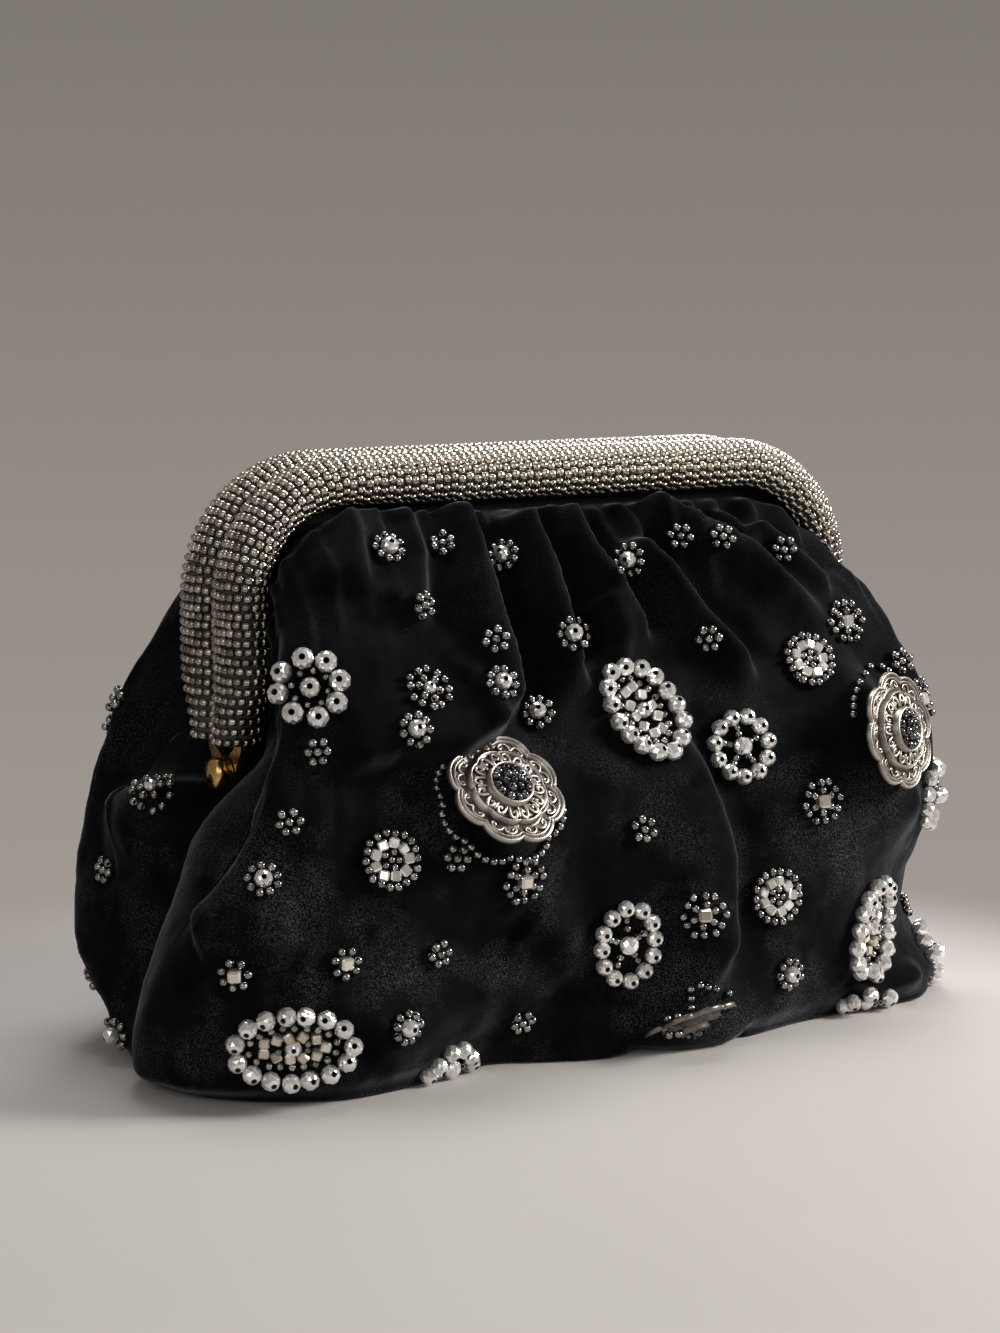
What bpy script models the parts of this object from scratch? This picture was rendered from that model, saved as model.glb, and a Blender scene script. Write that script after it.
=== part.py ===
"""Velvet clutch: a soft pouch gathered into a hinged frame with beaded rolls, as separate closed solids.

Metres, +Z up, front towards -Y. The origin is the middle of the base. Both halves of the frame turn about one
line along X through the hinge pins. The front half is built first and the rear half is its mirror image.
"""
import math

import bmesh
import bpy
import numpy as np

# Frame outline, seen from the front, along the middle of the beaded roll
FRAME_HALF_SPAN = 0.0940
FRAME_TOP = 0.1575
CORNER_RADIUS = 0.0305
HINGE_HEIGHT = 0.0790
FOOT_RISE = 0.0086
CORE_RISE = 0.0054
ARM_FILL_SHARE = 0.51777
ROLL_FOOT = HINGE_HEIGHT + FOOT_RISE
CORE_FOOT = ROLL_FOOT + CORE_RISE
ARM_FULL_HEIGHT = ROLL_FOOT + ARM_FILL_SHARE * (FRAME_TOP - CORNER_RADIUS - ROLL_FOOT)

# Beaded roll: half height is in the plane of the frame, half depth is front to back
ROLL_HALF_HEIGHT = 0.0075
TOP_HALF_DEPTH = 0.0095
ARM_HALF_DEPTH = 0.0105
FOOT_HALF_DEPTH = 0.0065
BEAD_LAYER = 0.0022
ROLL_MOUTH = 0.0025
CHANNEL_HALF_HEIGHT = 0.0026
CHANNEL_HALF_DEPTH = 0.0031
CHANNEL_WALL = 0.0008
CORD_RADIUS = 0.0013
CLEARANCE = 0.0003
HALF_GAP = 0.00015
SEAM_GAP = 0.0008
LINING_DROP = 0.0010

# Hinge: a lug is a round eye, a neck and an arm, with heights above the pin. HEAD_SHARES: (length, radius)
PIN_RADIUS = 0.0015
LUG_RADIUS = 0.0042
LUG_THICKNESS = 0.0014
LUG_NECK_BACK = 0.0030
LUG_NECK_HEIGHT = 0.0062
LUG_SHOULDER = 0.0086
LUG_ARM_LOW = 0.0072
LUG_ARM_TOP = 0.0134
LUG_ARM_SET_BACK = 0.0004
LUG_ARM_HALF_WIDTH = 0.0017
LUG_EYE_START = math.radians(180.0)
LUG_EYE_TURN = math.radians(260.0)
HEAD_RADIUS = 0.0046
HEAD_LENGTH = 0.0038
HEAD_SHARES = ((0.0, 1.0), (0.45, 1.0), (0.80, 0.78), (1.0, 0.35))
TAIL_LENGTH = 0.0012
TAIL_RADIUS = 0.00285

# Magnets in the top bar, seated in the padding with some of it left between them and the channel
MAGNET_RADIUS = 0.0025
MAGNET_THICKNESS = 0.0013
MAGNET_ACROSS = 0.0300
MAGNET_COVER = 0.0018
MAGNET_DEPTH = BEAD_LAYER + MAGNET_COVER + MAGNET_THICKNESS

# Cloth: columns of points from seam to seam, the base outline, the belly, and how a rib leaves the frame
CLOTH_COLUMNS = 24
FINE_COLUMNS = 5
LINING_SIDE_SHARE = 0.24
BASE_HALF_LENGTH = 0.1220
BASE_HALF_DEPTH = 0.0430
BASE_LIFT = 0.0004
BELLY_HEIGHT = 0.0360
SEAM_BELLY_HEIGHT = 0.0300
BELLY_LENGTH_SHARE = 1.19
BELLY_DEPTH_SHARE = 1.40
OUTLINE_POWER = 2.6
MOUTH_DROP = 0.0015
MOUTH_REACH = 0.0034
TURN_SHARE = 0.8
SEAM_RISE = 0.0010
GATHER_FORWARD = 0.0450
GATHER_DOWN_TOP = 0.0310
GATHER_DOWN_ARM = 0.0070
GATHER_OUT = 0.0120
SEAM_INSET = 0.0007
SEAM_TOP_ACROSS = FRAME_HALF_SPAN - ROLL_HALF_HEIGHT - SEAM_INSET
SEAM_TOP_DROP = 0.0085
SEAM_OUT = 0.0470
SEAM_DOWN = 0.0035
END_SHARE = 2.0 / CLOTH_COLUMNS
VELVET_THICKNESS = 0.0016
LINING_THICKNESS = 0.0008
SPLIT_END_DROP = 0.0100
SPLIT_MIDDLE_RISE = 0.0310
SPLIT_START_SHARE = 0.31
SPLIT_END_SHARE = 0.41

# Base pieces and the pocket
BASE_VELVET_THICKNESS = 0.0018
BOARD_THICKNESS = 0.0016
BASE_INSET = 0.0036
BOARD_INSET = 0.0052
LINING_BASE_INSET = 0.0068
POCKET_LOW = 0.0300
POCKET_HIGH = 0.0800
POCKET_SIDE_SHARE = 0.36
POCKET_GAP = 0.0015

# Motifs sewn to the cloth, each as (half width, half height, bead height, number of beads)
BACKING_THICKNESS = 0.0008
BEAD_HEIGHT = 0.0042
CUBE_HEIGHT = 0.0030
MOTIF_LIFT = 0.0004
RING_RADIUS = 0.0114
SMALL_RING_RADIUS = 0.0102
ROUND_RADIUS = 0.0085
OVAL_HALF_LENGTH = 0.0165
OVAL_HALF_WIDTH = 0.0110
SMALL_OVAL_HALF_LENGTH = 0.0132
SMALL_OVAL_HALF_WIDTH = 0.0098
KINDS = {
    "ring": (RING_RADIUS, RING_RADIUS, BEAD_HEIGHT, 11),
    "small_ring": (SMALL_RING_RADIUS, SMALL_RING_RADIUS, BEAD_HEIGHT, 8),
    "round": (ROUND_RADIUS, ROUND_RADIUS, CUBE_HEIGHT, 10),
    "wide_oval": (OVAL_HALF_LENGTH, OVAL_HALF_WIDTH, BEAD_HEIGHT, 14),
    "tall_oval": (OVAL_HALF_WIDTH, OVAL_HALF_LENGTH, BEAD_HEIGHT, 14),
    "small_oval": (SMALL_OVAL_HALF_WIDTH, SMALL_OVAL_HALF_LENGTH, BEAD_HEIGHT, 12),
}

# Rows of a motif's relief from the middle outwards: (radius, bead height, what is taken off between beads)
HUB_SHARES = ((0.16, 0.85, 0.0), (0.30, 0.30, 0.0))
RIM_SHARES = ((0.62, 0.35, 0.20), (0.80, 1.0, 0.70), (1.0, 0.40, 0.30))
BEAD_RING_SHARES = HUB_SHARES + RIM_SHARES
PLATE_SHARES = ((0.30, 1.0, 0.0), (0.48, 0.55, 0.0), (0.85, 0.35, 0.0), (1.0, 0.0, 0.0))
CUP_SHARES = ((0.45, 1.0, 0.0), (1.0, 0.50, 0.30))
PLATE_RADIUS = 0.0155
PLATE_THICKNESS = 0.0012
PLATE_DOME = 0.0030
PLATE_LOBES = 8
LOBE_SHARE = 0.055
CUP_RADIUS = 0.0052
CUP_SIDES = 18

# Places of the motifs, across as shares of the base's half length and up as shares of the frame's height
FRONT_MOTIF_SHARES = {
    "motif_oval_low_left": ("wide_oval", -0.721, 0.094),
    "motif_round_left": ("round", -0.557, 0.368),
    "motif_oval_middle": ("small_oval", 0.066, 0.600),
    "motif_ring_right": ("ring", 0.311, 0.527),
    "motif_ring_low_middle": ("ring", 0.025, 0.216),
    "motif_round_low_right": ("round", 0.459, 0.229),
    "motif_oval_right": ("tall_oval", 0.754, 0.160),
}
REAR_MOTIF_SHARES = {
    "motif_ring_rear_middle": ("ring", 0.082, 0.508),
    "motif_oval_rear_left": ("wide_oval", -0.574, 0.190),
    "motif_round_rear_right": ("round", 0.615, 0.190),
}
FRONT_MEDALLION_SHARES = {"middle": (-0.295, 0.470), "right": (0.885, 0.356)}
REAR_MEDALLION_SHARES = {"rear": (0.311, 0.305)}

# Places of the motifs beside the arms, across by the frame's half span and up by its height
ARM_MOTIF_SHARES = {
    "motif_ring_by_arm": ("small_ring", -0.8618, 0.680),
    "motif_round_by_right_arm": ("round", 0.7657, 0.682),
}
LIFT_REACH_SHARE = 0.12
LIFT_STEPS = 10

# How finely the shapes are divided
ARM_STEPS = 3
CORNER_STEPS = 4
TOP_STEPS = 3
SECTION_STEPS = 8
ROUND_SIDES = 16
HOLE_SIDES = 20
BASE_SIDES = 40
EYE_STEPS = 13
LOWER_STEPS = 5
UPPER_STEPS = 4
POCKET_STEPS = 6
SEARCH_STEPS = 100
HALVINGS = 30
SLOPE_SHARE = 0.004

HINGE_ORIGIN = (0.0, 0.0, HINGE_HEIGHT)
WORLD_ORIGIN = (0.0, 0.0, 0.0)
SIDES = ((-1.0, "left"), (1.0, "right"))

# Colour, roughness and metallic value of each material
LOOKS = {
    "velvet": ((0.012, 0.013, 0.018), 0.9, 0.0),
    "lining": ((0.03, 0.03, 0.035), 0.55, 0.0),
    "seed_beads": ((0.12, 0.10, 0.09), 0.3, 0.8),
    "facet_beads": ((0.72, 0.70, 0.67), 0.15, 1.0),
    "cube_beads": ((0.62, 0.54, 0.45), 0.25, 0.8),
    "medallion_metal": ((0.42, 0.38, 0.33), 0.35, 1.0),
    "brass": ((0.62, 0.36, 0.14), 0.25, 1.0),
    "frame_steel": ((0.45, 0.45, 0.45), 0.35, 1.0),
    "padding": ((0.18, 0.17, 0.16), 0.95, 0.0),
    "board": ((0.30, 0.25, 0.20), 0.9, 0.0),
    "paper_cord": ((0.55, 0.47, 0.36), 0.9, 0.0),
    "magnet": ((0.50, 0.50, 0.52), 0.3, 1.0),
}


def material(name, colour, roughness, metallic):
    made = bpy.data.materials.new(name)
    made.use_nodes = True
    shader = made.node_tree.nodes["Principled BSDF"]
    shader.inputs["Base Color"].default_value = (*colour, 1.0)
    shader.inputs["Roughness"].default_value = roughness
    shader.inputs["Metallic"].default_value = metallic
    return made


def smooth(x):
    x = min(max(x, 0.0), 1.0)
    return x * x * (3.0 - 2.0 * x)


def body(name, points, faces, look, origin=WORLD_ORIGIN, rear=False):
    """One closed object. A rear piece is the front one mirrored in the plane Y = 0."""
    points = np.array(points, dtype=float)
    if rear:
        points = points * np.array([1.0, -1.0, 1.0])
    mesh = bpy.data.meshes.new(name)
    mesh.from_pydata((points - np.array(origin)).tolist(), [], faces)
    work = bmesh.new()
    work.from_mesh(mesh)
    bmesh.ops.recalc_face_normals(work, faces=work.faces)
    if work.calc_volume(signed=True) < 0.0:
        bmesh.ops.reverse_faces(work, faces=work.faces)
    work.to_mesh(mesh)
    work.free()
    mesh.materials.append(look)
    made = bpy.data.objects.new(name, mesh)
    made.location = origin
    bpy.context.scene.collection.objects.link(made)
    return made


def grid_faces(rows, columns, closed, flip_from=None):
    """Triangles between neighbouring rows of points. With closed, the last column joins the first.

    From column flip_from on, where a section runs back along its inside, the diagonal leans the other way, so
    that the faces of nested pieces are parallel.
    """
    faces = []
    for r in range(rows - 1):
        for c in range(columns if closed else columns - 1):
            after = (c + 1) % columns
            low, low_next = r * columns + c, r * columns + after
            high, high_next = low + columns, low_next + columns
            if flip_from is not None and c >= flip_from:
                faces += [(low, low_next, high), (low_next, high_next, high)]
            else:
                faces += [(low, low_next, high_next), (low, high_next, high)]
    return faces


# Frame


def half_depth(height):
    """Half the roll's depth at a height: slim at the foot, fullest part way up, then the top bar's."""
    rise = smooth((height - ROLL_FOOT) / (ARM_FULL_HEIGHT - ROLL_FOOT))
    ease = smooth((height - ARM_FULL_HEIGHT) / (FRAME_TOP - ARM_FULL_HEIGHT))
    low = FOOT_HALF_DEPTH + (ARM_HALF_DEPTH - FOOT_HALF_DEPTH) * rise
    return low + (TOP_HALF_DEPTH - ARM_HALF_DEPTH) * ease


def frame_stations():
    """(x, z, outward x, outward z, half depth) up the left arm, over the top and down the right arm."""
    bend = FRAME_HALF_SPAN - CORNER_RADIUS
    spring = FRAME_TOP - CORNER_RADIUS
    heights = [ROLL_FOOT] + [CORE_FOOT + (spring - CORE_FOOT) * i / ARM_STEPS for i in range(ARM_STEPS)]
    left = [(-FRAME_HALF_SPAN, height, -1.0, 0.0) for height in heights]
    for i in range(CORNER_STEPS):
        turn = math.pi / 2.0 * i / CORNER_STEPS
        out = (-math.cos(turn), math.sin(turn))
        left.append((-bend + CORNER_RADIUS * out[0], spring + CORNER_RADIUS * out[1], *out))
    top = [(bend * (2.0 * i / TOP_STEPS - 1.0), FRAME_TOP, 0.0, 1.0) for i in range(TOP_STEPS + 1)]
    right = [(-x, z, -across, up) for x, z, across, up in reversed(left)]
    return [(*s, half_depth(s[1])) for s in left + top + right]


def sweep(stations, section):
    """Sweeps section(half depth), a closed loop of (outward, back) offsets, along the stations, with caps."""
    points = []
    for x, z, across, up, depth in stations:
        middle = -(depth + HALF_GAP)
        points += [(x + across * s, middle + y, z + up * s) for s, y in section(depth)]
    columns = len(points) // len(stations)
    half = columns // 2
    faces = grid_faces(len(stations), columns, True, half)
    last = (len(stations) - 1) * columns
    for i in range(half - 1):
        cap = (i, i + 1, columns - 2 - i, columns - 1 - i)
        faces.append(cap)
        faces.append(tuple(last + k for k in cap))
    return points, faces


def open_ring(outer, inner, depth):
    """A ring between two ellipses, each (half height, half depth), open towards the inside of the frame.

    Every ring at one station has its corners at the same turns, so nested rings keep their clearance.
    """
    start = math.asin(ROLL_MOUTH / depth)
    turns = [start + (2.0 * math.pi - 2.0 * start) * i / SECTION_STEPS for i in range(SECTION_STEPS + 1)]
    outside = [(-outer[0] * math.cos(t), outer[1] * math.sin(t)) for t in turns]
    inside = [(-inner[0] * math.cos(t), inner[1] * math.sin(t)) for t in turns]
    return outside + inside[::-1]


def bead_section(depth):
    return open_ring((ROLL_HALF_HEIGHT, depth), (ROLL_HALF_HEIGHT - BEAD_LAYER, depth - BEAD_LAYER), depth)


def pad_section(depth):
    skin = BEAD_LAYER + CLEARANCE
    outer = (ROLL_HALF_HEIGHT - skin, depth - skin)
    return open_ring(outer, (CHANNEL_HALF_HEIGHT + CLEARANCE, CHANNEL_HALF_DEPTH + CLEARANCE), depth)


def channel_section(depth):
    inner = (CHANNEL_HALF_HEIGHT - CHANNEL_WALL, CHANNEL_HALF_DEPTH - CHANNEL_WALL)
    return open_ring((CHANNEL_HALF_HEIGHT, CHANNEL_HALF_DEPTH), inner, depth)


def cord_section(depth):
    turns = [2.0 * math.pi * (i + 0.5) / SECTION_STEPS for i in range(SECTION_STEPS)]
    return [(-CORD_RADIUS * math.cos(t), CORD_RADIUS * math.sin(t)) for t in turns]


def part_way(stations, first, last):
    """A run of stations, its cut ends drawn back by half a clearance so that neighbours stay apart."""
    run = list(stations[first : last + 1])
    for end, beside in ((0, 1), (-1, -2)):
        if (end == 0 and first == 0) or (end == -1 and last == len(stations) - 1):
            continue
        a, b = np.array(run[end]), np.array(run[beside])
        share = HALF_GAP / math.hypot(b[0] - a[0], b[1] - a[1])
        run[end] = tuple(a + (b - a) * share)
    return run


def turned(rings, centre, axis, sides=ROUND_SIDES):
    """A body of rings, each (place along the axis, radius), about axis 0 (X) or 1 (Y) through the centre."""
    points = []
    for along, radius in rings:
        for i in range(sides):
            turn = 2.0 * math.pi * i / sides
            ring = [radius * math.cos(turn), radius * math.sin(turn)]
            ring.insert(axis, 0.0)
            point = np.array(ring) + np.array(centre)
            point[axis] = along
            points.append(tuple(point))
    faces = grid_faces(len(rings), sides, True)
    faces.append(tuple(range(sides)))
    faces.append(tuple(range((len(rings) - 1) * sides, len(rings) * sides)))
    return points, faces


def cut(target, cutter):
    """Takes the cutter's shape out of the target and leaves the cutter hidden."""
    cutter.hide_render = True
    cutter.display_type = "WIRE"
    step = target.modifiers.new("cut", "BOOLEAN")
    step.operation = "DIFFERENCE"
    step.solver = "EXACT"
    step.object = cutter


def lug(name, side, across, look, rear):
    """A flat hinge plate: a round eye about the pin and an arm that runs up into the roll."""
    middle = FOOT_HALF_DEPTH + LUG_ARM_SET_BACK
    back, front = -middle + LUG_ARM_HALF_WIDTH, -middle - LUG_ARM_HALF_WIDTH
    turns = [LUG_EYE_START + LUG_EYE_TURN * i / EYE_STEPS for i in range(EYE_STEPS + 1)]
    contour = [(LUG_RADIUS * math.cos(turn), LUG_RADIUS * math.sin(turn)) for turn in turns]
    contour += [
        (-LUG_NECK_BACK, LUG_NECK_HEIGHT),
        (back, LUG_SHOULDER),
        (back, LUG_ARM_TOP),
        (front, LUG_ARM_TOP),
        (front, LUG_ARM_LOW),
    ]
    count = len(contour)
    points = []
    for x in (across - LUG_THICKNESS / 2.0, across + LUG_THICKNESS / 2.0):
        points += [(side * x, y, HINGE_HEIGHT + z) for y, z in contour]
    faces = [(i, (i + 1) % count, count + (i + 1) % count, count + i) for i in range(count)]
    faces += [tuple(range(count)), tuple(range(count, 2 * count))]
    plate = body(name, points, faces, look, HINGE_ORIGIN, rear)
    ends = (across - LUG_THICKNESS, across + LUG_THICKNESS)
    rings = [(side * x, PIN_RADIUS + CLEARANCE) for x in ends]
    hole = body("cutter_" + name, *turned(rings, HINGE_ORIGIN, 0, HOLE_SIDES), look, HINGE_ORIGIN)
    cut(plate, hole)


def pin(name, side, look):
    """A hinge pin along X with a domed head on the outside, where it shows below the arms."""
    outer = FRAME_HALF_SPAN + LUG_THICKNESS + 2.0 * CLEARANCE
    inner = FRAME_HALF_SPAN - LUG_THICKNESS - 2.0 * CLEARANCE
    rings = [(inner - TAIL_LENGTH, TAIL_RADIUS), (inner, TAIL_RADIUS)]
    rings += [(inner, PIN_RADIUS), (outer, PIN_RADIUS)]
    rings += [(outer + HEAD_LENGTH * along, HEAD_RADIUS * wide) for along, wide in HEAD_SHARES]
    body(name, *turned([(side * x, radius) for x, radius in rings], HINGE_ORIGIN, 0), look)


# Cloth


def outline(turn, length, depth):
    """A point on the left-to-right front half of a rounded oval."""
    share = 2.0 / OUTLINE_POWER
    c, s = math.cos(turn), math.sin(turn)
    return -length * math.copysign(abs(c) ** share, c), -depth * abs(s) ** share


def mouth_point(share):
    """A point on the inside of the roll, by share of the way along it, with the outward direction there."""
    bend = FRAME_HALF_SPAN - CORNER_RADIUS
    spring = FRAME_TOP - CORNER_RADIUS
    inset = ROLL_HALF_HEIGHT + MOUTH_DROP
    inner = CORNER_RADIUS - inset
    arm, corner = spring - CORE_FOOT, math.pi / 2.0 * inner
    whole = 2.0 * (arm + corner) + 2.0 * bend
    along = min(share, 1.0 - share) * whole
    if along < arm:
        x, z, out = -FRAME_HALF_SPAN + inset, CORE_FOOT + along, (-1.0, 0.0)
    elif along < arm + corner:
        turn = (along - arm) / inner
        out = (-math.cos(turn), math.sin(turn))
        x, z = -bend + inner * out[0], spring + inner * out[1]
    else:
        x, z, out = -bend + (along - arm - corner), FRAME_TOP - inset, (0.0, 1.0)
    if share > 0.5:
        x, out = -x, (-out[0], out[1])
    y = -(half_depth(z + inset * out[1]) + HALF_GAP) - VELVET_THICKNESS
    return np.array([x, y, z]), out


def rib(share):
    """One rib of the front cloth: its control points, its end in the roll's mouth and the way back there."""
    turn = math.pi * share
    base_x, base_y = outline(turn, BASE_HALF_LENGTH, BASE_HALF_DEPTH)
    base = np.array([base_x, min(base_y, -HALF_GAP), BASE_LIFT])
    lift = SEAM_BELLY_HEIGHT + (BELLY_HEIGHT - SEAM_BELLY_HEIGHT) * math.sin(turn)
    belly = np.array([base_x * BELLY_LENGTH_SHARE, base_y * BELLY_DEPTH_SHARE, lift])
    edge = min(share, 1.0 - share)
    side = -1.0 if share < 0.5 else 1.0
    end = smooth(edge / END_SHARE)
    held, out = mouth_point(min(max((share - END_SHARE) / (1.0 - 2.0 * END_SHARE), 0.0), 1.0))
    seam = np.array([side * SEAM_TOP_ACROSS, -HALF_GAP, HINGE_HEIGHT - SEAM_TOP_DROP])
    drop = GATHER_DOWN_TOP * out[1] + GATHER_DOWN_ARM * abs(out[0])
    gather = np.array([GATHER_OUT * out[0], -GATHER_FORWARD, -drop])
    seam_gather = np.array([side * SEAM_OUT, 0.0, -SEAM_DOWN])
    top = seam + (held - seam) * end
    entered = smooth((edge - END_SHARE) * CLOTH_COLUMNS)
    into = np.array([out[0], 0.0, out[1]]) * MOUTH_REACH * entered
    into[2] += SEAM_RISE * (1.0 - entered)
    back = np.array([-side * (1.0 - end), end, 0.0])
    billow = top + seam_gather + (gather - seam_gather) * end
    return (base, belly, billow, top), top + into, back / np.linalg.norm(back)


def on_rib(controls, t):
    a, b, c, d = controls
    r = 1.0 - t
    return r * r * r * a + 3.0 * r * r * t * b + 3.0 * r * t * t * c + t * t * t * d


def share_at_height(controls, height):
    """Where the rib passes a height, by halving."""
    low, high = 0.0, 1.0
    for _ in range(HALVINGS):
        middle = (low + high) / 2.0
        if on_rib(controls, middle)[2] < height:
            low = middle
        else:
            high = middle
    return low


def cloth_point(share, t):
    return on_rib(rib(share)[0], t)


def cloth_normal(share, t):
    """Outward normal of the front cloth."""
    low, high = max(share - SLOPE_SHARE, 0.0), min(share + SLOPE_SHARE, 1.0)
    down, up = max(t - SLOPE_SHARE, 0.0), min(t + SLOPE_SHARE, 1.0)
    along = cloth_point(high, t) - cloth_point(low, t)
    rise = cloth_point(share, up) - cloth_point(share, down)
    normal = np.cross(along, rise)
    if share <= 0.0 or share >= 1.0:
        normal[1] = 0.0
    return normal / np.linalg.norm(normal)


def split_height(share):
    """Height at which the cloth is parted between the pouch and the half of the frame above it."""
    edge = min(share, 1.0 - share)
    rise = smooth((edge - SPLIT_START_SHARE) / (SPLIT_END_SHARE - SPLIT_START_SHARE))
    return HINGE_HEIGHT - SPLIT_END_DROP + (SPLIT_MIDDLE_RISE + SPLIT_END_DROP) * rise


def panel(low_t, high_t, shares, steps, outer, inner, held_at=None):
    """A closed sheet between two depths behind the front cloth's face, from low_t to high_t on each rib.

    held_at is how far behind the face the sheet lies where it goes into the frame's mouth.
    """
    rows_out, rows_in = [], []
    for share in shares:
        controls, held, back = rib(share)
        a, b = low_t(controls, share), high_t(controls, share)
        out_row, in_row = [], []
        for i in range(steps + 1):
            t = a + (b - a) * i / steps
            at, normal = on_rib(controls, t), cloth_normal(share, t)
            out_row.append(at - normal * outer)
            in_row.append(at - normal * inner)
        if held_at is not None:
            thickness = inner - outer
            inward = controls[3] - held
            turn = back + inward / np.linalg.norm(inward) * TURN_SHARE
            out_row[-1] = controls[3] + turn * held_at
            in_row[-1] = controls[3] + turn * (held_at + thickness)
            out_row.append(held + back * held_at)
            in_row.append(held + back * (held_at + thickness))
        rows_out.append(out_row)
        rows_in.append(in_row)
    columns = len(rows_out[0])
    points = [p for row in rows_out + rows_in for p in row]
    points = [(p[0], min(p[1], -HALF_GAP), p[2]) for p in points]
    count = len(shares)
    faces = grid_faces(count, columns, False)
    back = [tuple(count * columns + i for i in face) for face in faces]
    rim = [r * columns for r in range(count)]
    rim += [(count - 1) * columns + c for c in range(1, columns)]
    rim += [r * columns + columns - 1 for r in range(count - 2, -1, -1)]
    rim += [c for c in range(columns - 2, 0, -1)]
    shift = count * columns
    pairs = zip(rim, rim[1:] + rim[:1])
    edge = [(a, b, b + shift, a + shift) for a, b in pairs]
    return points, faces + back + edge


def columns():
    """Shares along the cloth from seam to seam, closer together where it turns round the foot of each arm."""
    whole = [i / CLOTH_COLUMNS for i in range(CLOTH_COLUMNS + 1)]
    near = [(i + 0.5) / CLOTH_COLUMNS for i in range(1, FINE_COLUMNS)]
    return sorted(whole + near + [1.0 - share for share in near])


def slab(length, depth, low, high):
    """A flat oval sheet."""
    points = []
    for z in (low, high):
        for i in range(BASE_SIDES):
            turn = 2.0 * math.pi * i / BASE_SIDES
            x, y = outline(turn, length, depth)
            points.append((x, math.copysign(y, -math.sin(turn)), z))
    faces = grid_faces(2, BASE_SIDES, True)
    return points, faces + [tuple(range(BASE_SIDES)), tuple(range(BASE_SIDES, 2 * BASE_SIDES))]


# Motifs


def place_on_cloth(across, height, radius):
    """The front cloth's point and normal at a place seen from the front, and the lift of a disc there.

    The lift lets a flat disc of the radius clear the cloth round its middle.
    """
    best = None
    for i in range(1, SEARCH_STEPS):
        share = i / SEARCH_STEPS
        controls = rib(share)[0]
        miss = abs(on_rib(controls, share_at_height(controls, height))[0] - across)
        if best is None or miss < best[0]:
            best = (miss, share)
    share = best[1]
    controls = rib(share)[0]
    t = share_at_height(controls, height)
    at, normal = on_rib(controls, t), cloth_normal(share, t)
    rise = 0.0
    for i in range(-LIFT_STEPS, LIFT_STEPS + 1):
        near = rib(min(max(share + LIFT_REACH_SHARE * i / LIFT_STEPS, 0.0), 1.0))[0]
        for k in range(-LIFT_STEPS, LIFT_STEPS + 1):
            away = on_rib(near, min(max(t + LIFT_REACH_SHARE * k / LIFT_STEPS, 0.0), 1.0)) - at
            out = float(away @ normal)
            if np.linalg.norm(away - normal * out) < radius:
                rise = max(rise, out)
    return at, normal, max(MOTIF_LIFT, rise + CLEARANCE)


def relief(name, where, rows, sides, look, above=0.0, stretch=(1.0, 1.0), lobes=0,
           origin=WORLD_ORIGIN, rear=False):
    """A raised disc on the cloth. A row is (radius, height above the back, drop between beads)."""
    at, normal, lift = where
    lift += above
    up = np.array([0.0, 0.0, 1.0]) - normal * normal[2]
    up /= np.linalg.norm(up)
    side = np.cross(up, normal)
    points = [at + normal * lift]
    loops = [(rows[-1][0], 0.0, 0.0)] + list(rows[::-1])
    for radius, height, dip in loops:
        for i in range(sides):
            turn = 2.0 * math.pi * i / sides
            reach = radius * (1.0 + (LOBE_SHARE * math.cos(lobes * turn) if lobes else 0.0))
            rise = height - (dip if i % 2 == 0 else 0.0)
            flat = side * (reach * stretch[0] * math.cos(turn)) + up * (reach * stretch[1] * math.sin(turn))
            points.append(at + flat + normal * (lift + rise))
    points.append(at + normal * (lift + rows[0][1]))
    faces = [(0, 1 + (i + 1) % sides, 1 + i) for i in range(sides)]
    faces += [tuple(1 + k for k in face) for face in grid_faces(len(loops), sides, True)]
    last = 1 + (len(loops) - 1) * sides
    faces += [(last + i, last + (i + 1) % sides, len(points) - 1) for i in range(sides)]
    body(name, points, faces, look, origin, rear)


def bead_ring(name, kind, across, height, look, origin, rear):
    """A backing disc with a ring of beads round its edge and one bead in the middle, as one solid."""
    wide, tall, bead, beads = KINDS[kind]
    radius = max(wide, tall)
    floor = BACKING_THICKNESS
    rows = [(radius * out, floor + bead * rise, bead * dip) for out, rise, dip in BEAD_RING_SHARES]
    stretch = (wide / radius, tall / radius)
    where = place_on_cloth(across, height, radius)
    relief(name, where, rows, 2 * beads, look, 0.0, stretch, 0, origin, rear)


def medallion(name, across, height, metal, seeds, rear):
    """A domed metal plate with a lobed edge, and a cup of seed beads standing on its middle."""
    where = place_on_cloth(across, height, PLATE_RADIUS)
    rows = [(PLATE_RADIUS * out, PLATE_THICKNESS + PLATE_DOME * rise, 0.0) for out, rise, _ in PLATE_SHARES]
    relief("medallion_" + name, where, rows, 4 * PLATE_LOBES, metal, lobes=PLATE_LOBES, rear=rear)
    rows = [
        (CUP_RADIUS * out, BACKING_THICKNESS + CUBE_HEIGHT * rise, CUBE_HEIGHT * dip)
        for out, rise, dip in CUP_SHARES
    ]
    above = PLATE_THICKNESS + PLATE_DOME + CLEARANCE
    relief("seed_cup_" + name, where, rows, CUP_SIDES, seeds, above, rear=rear)


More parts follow.
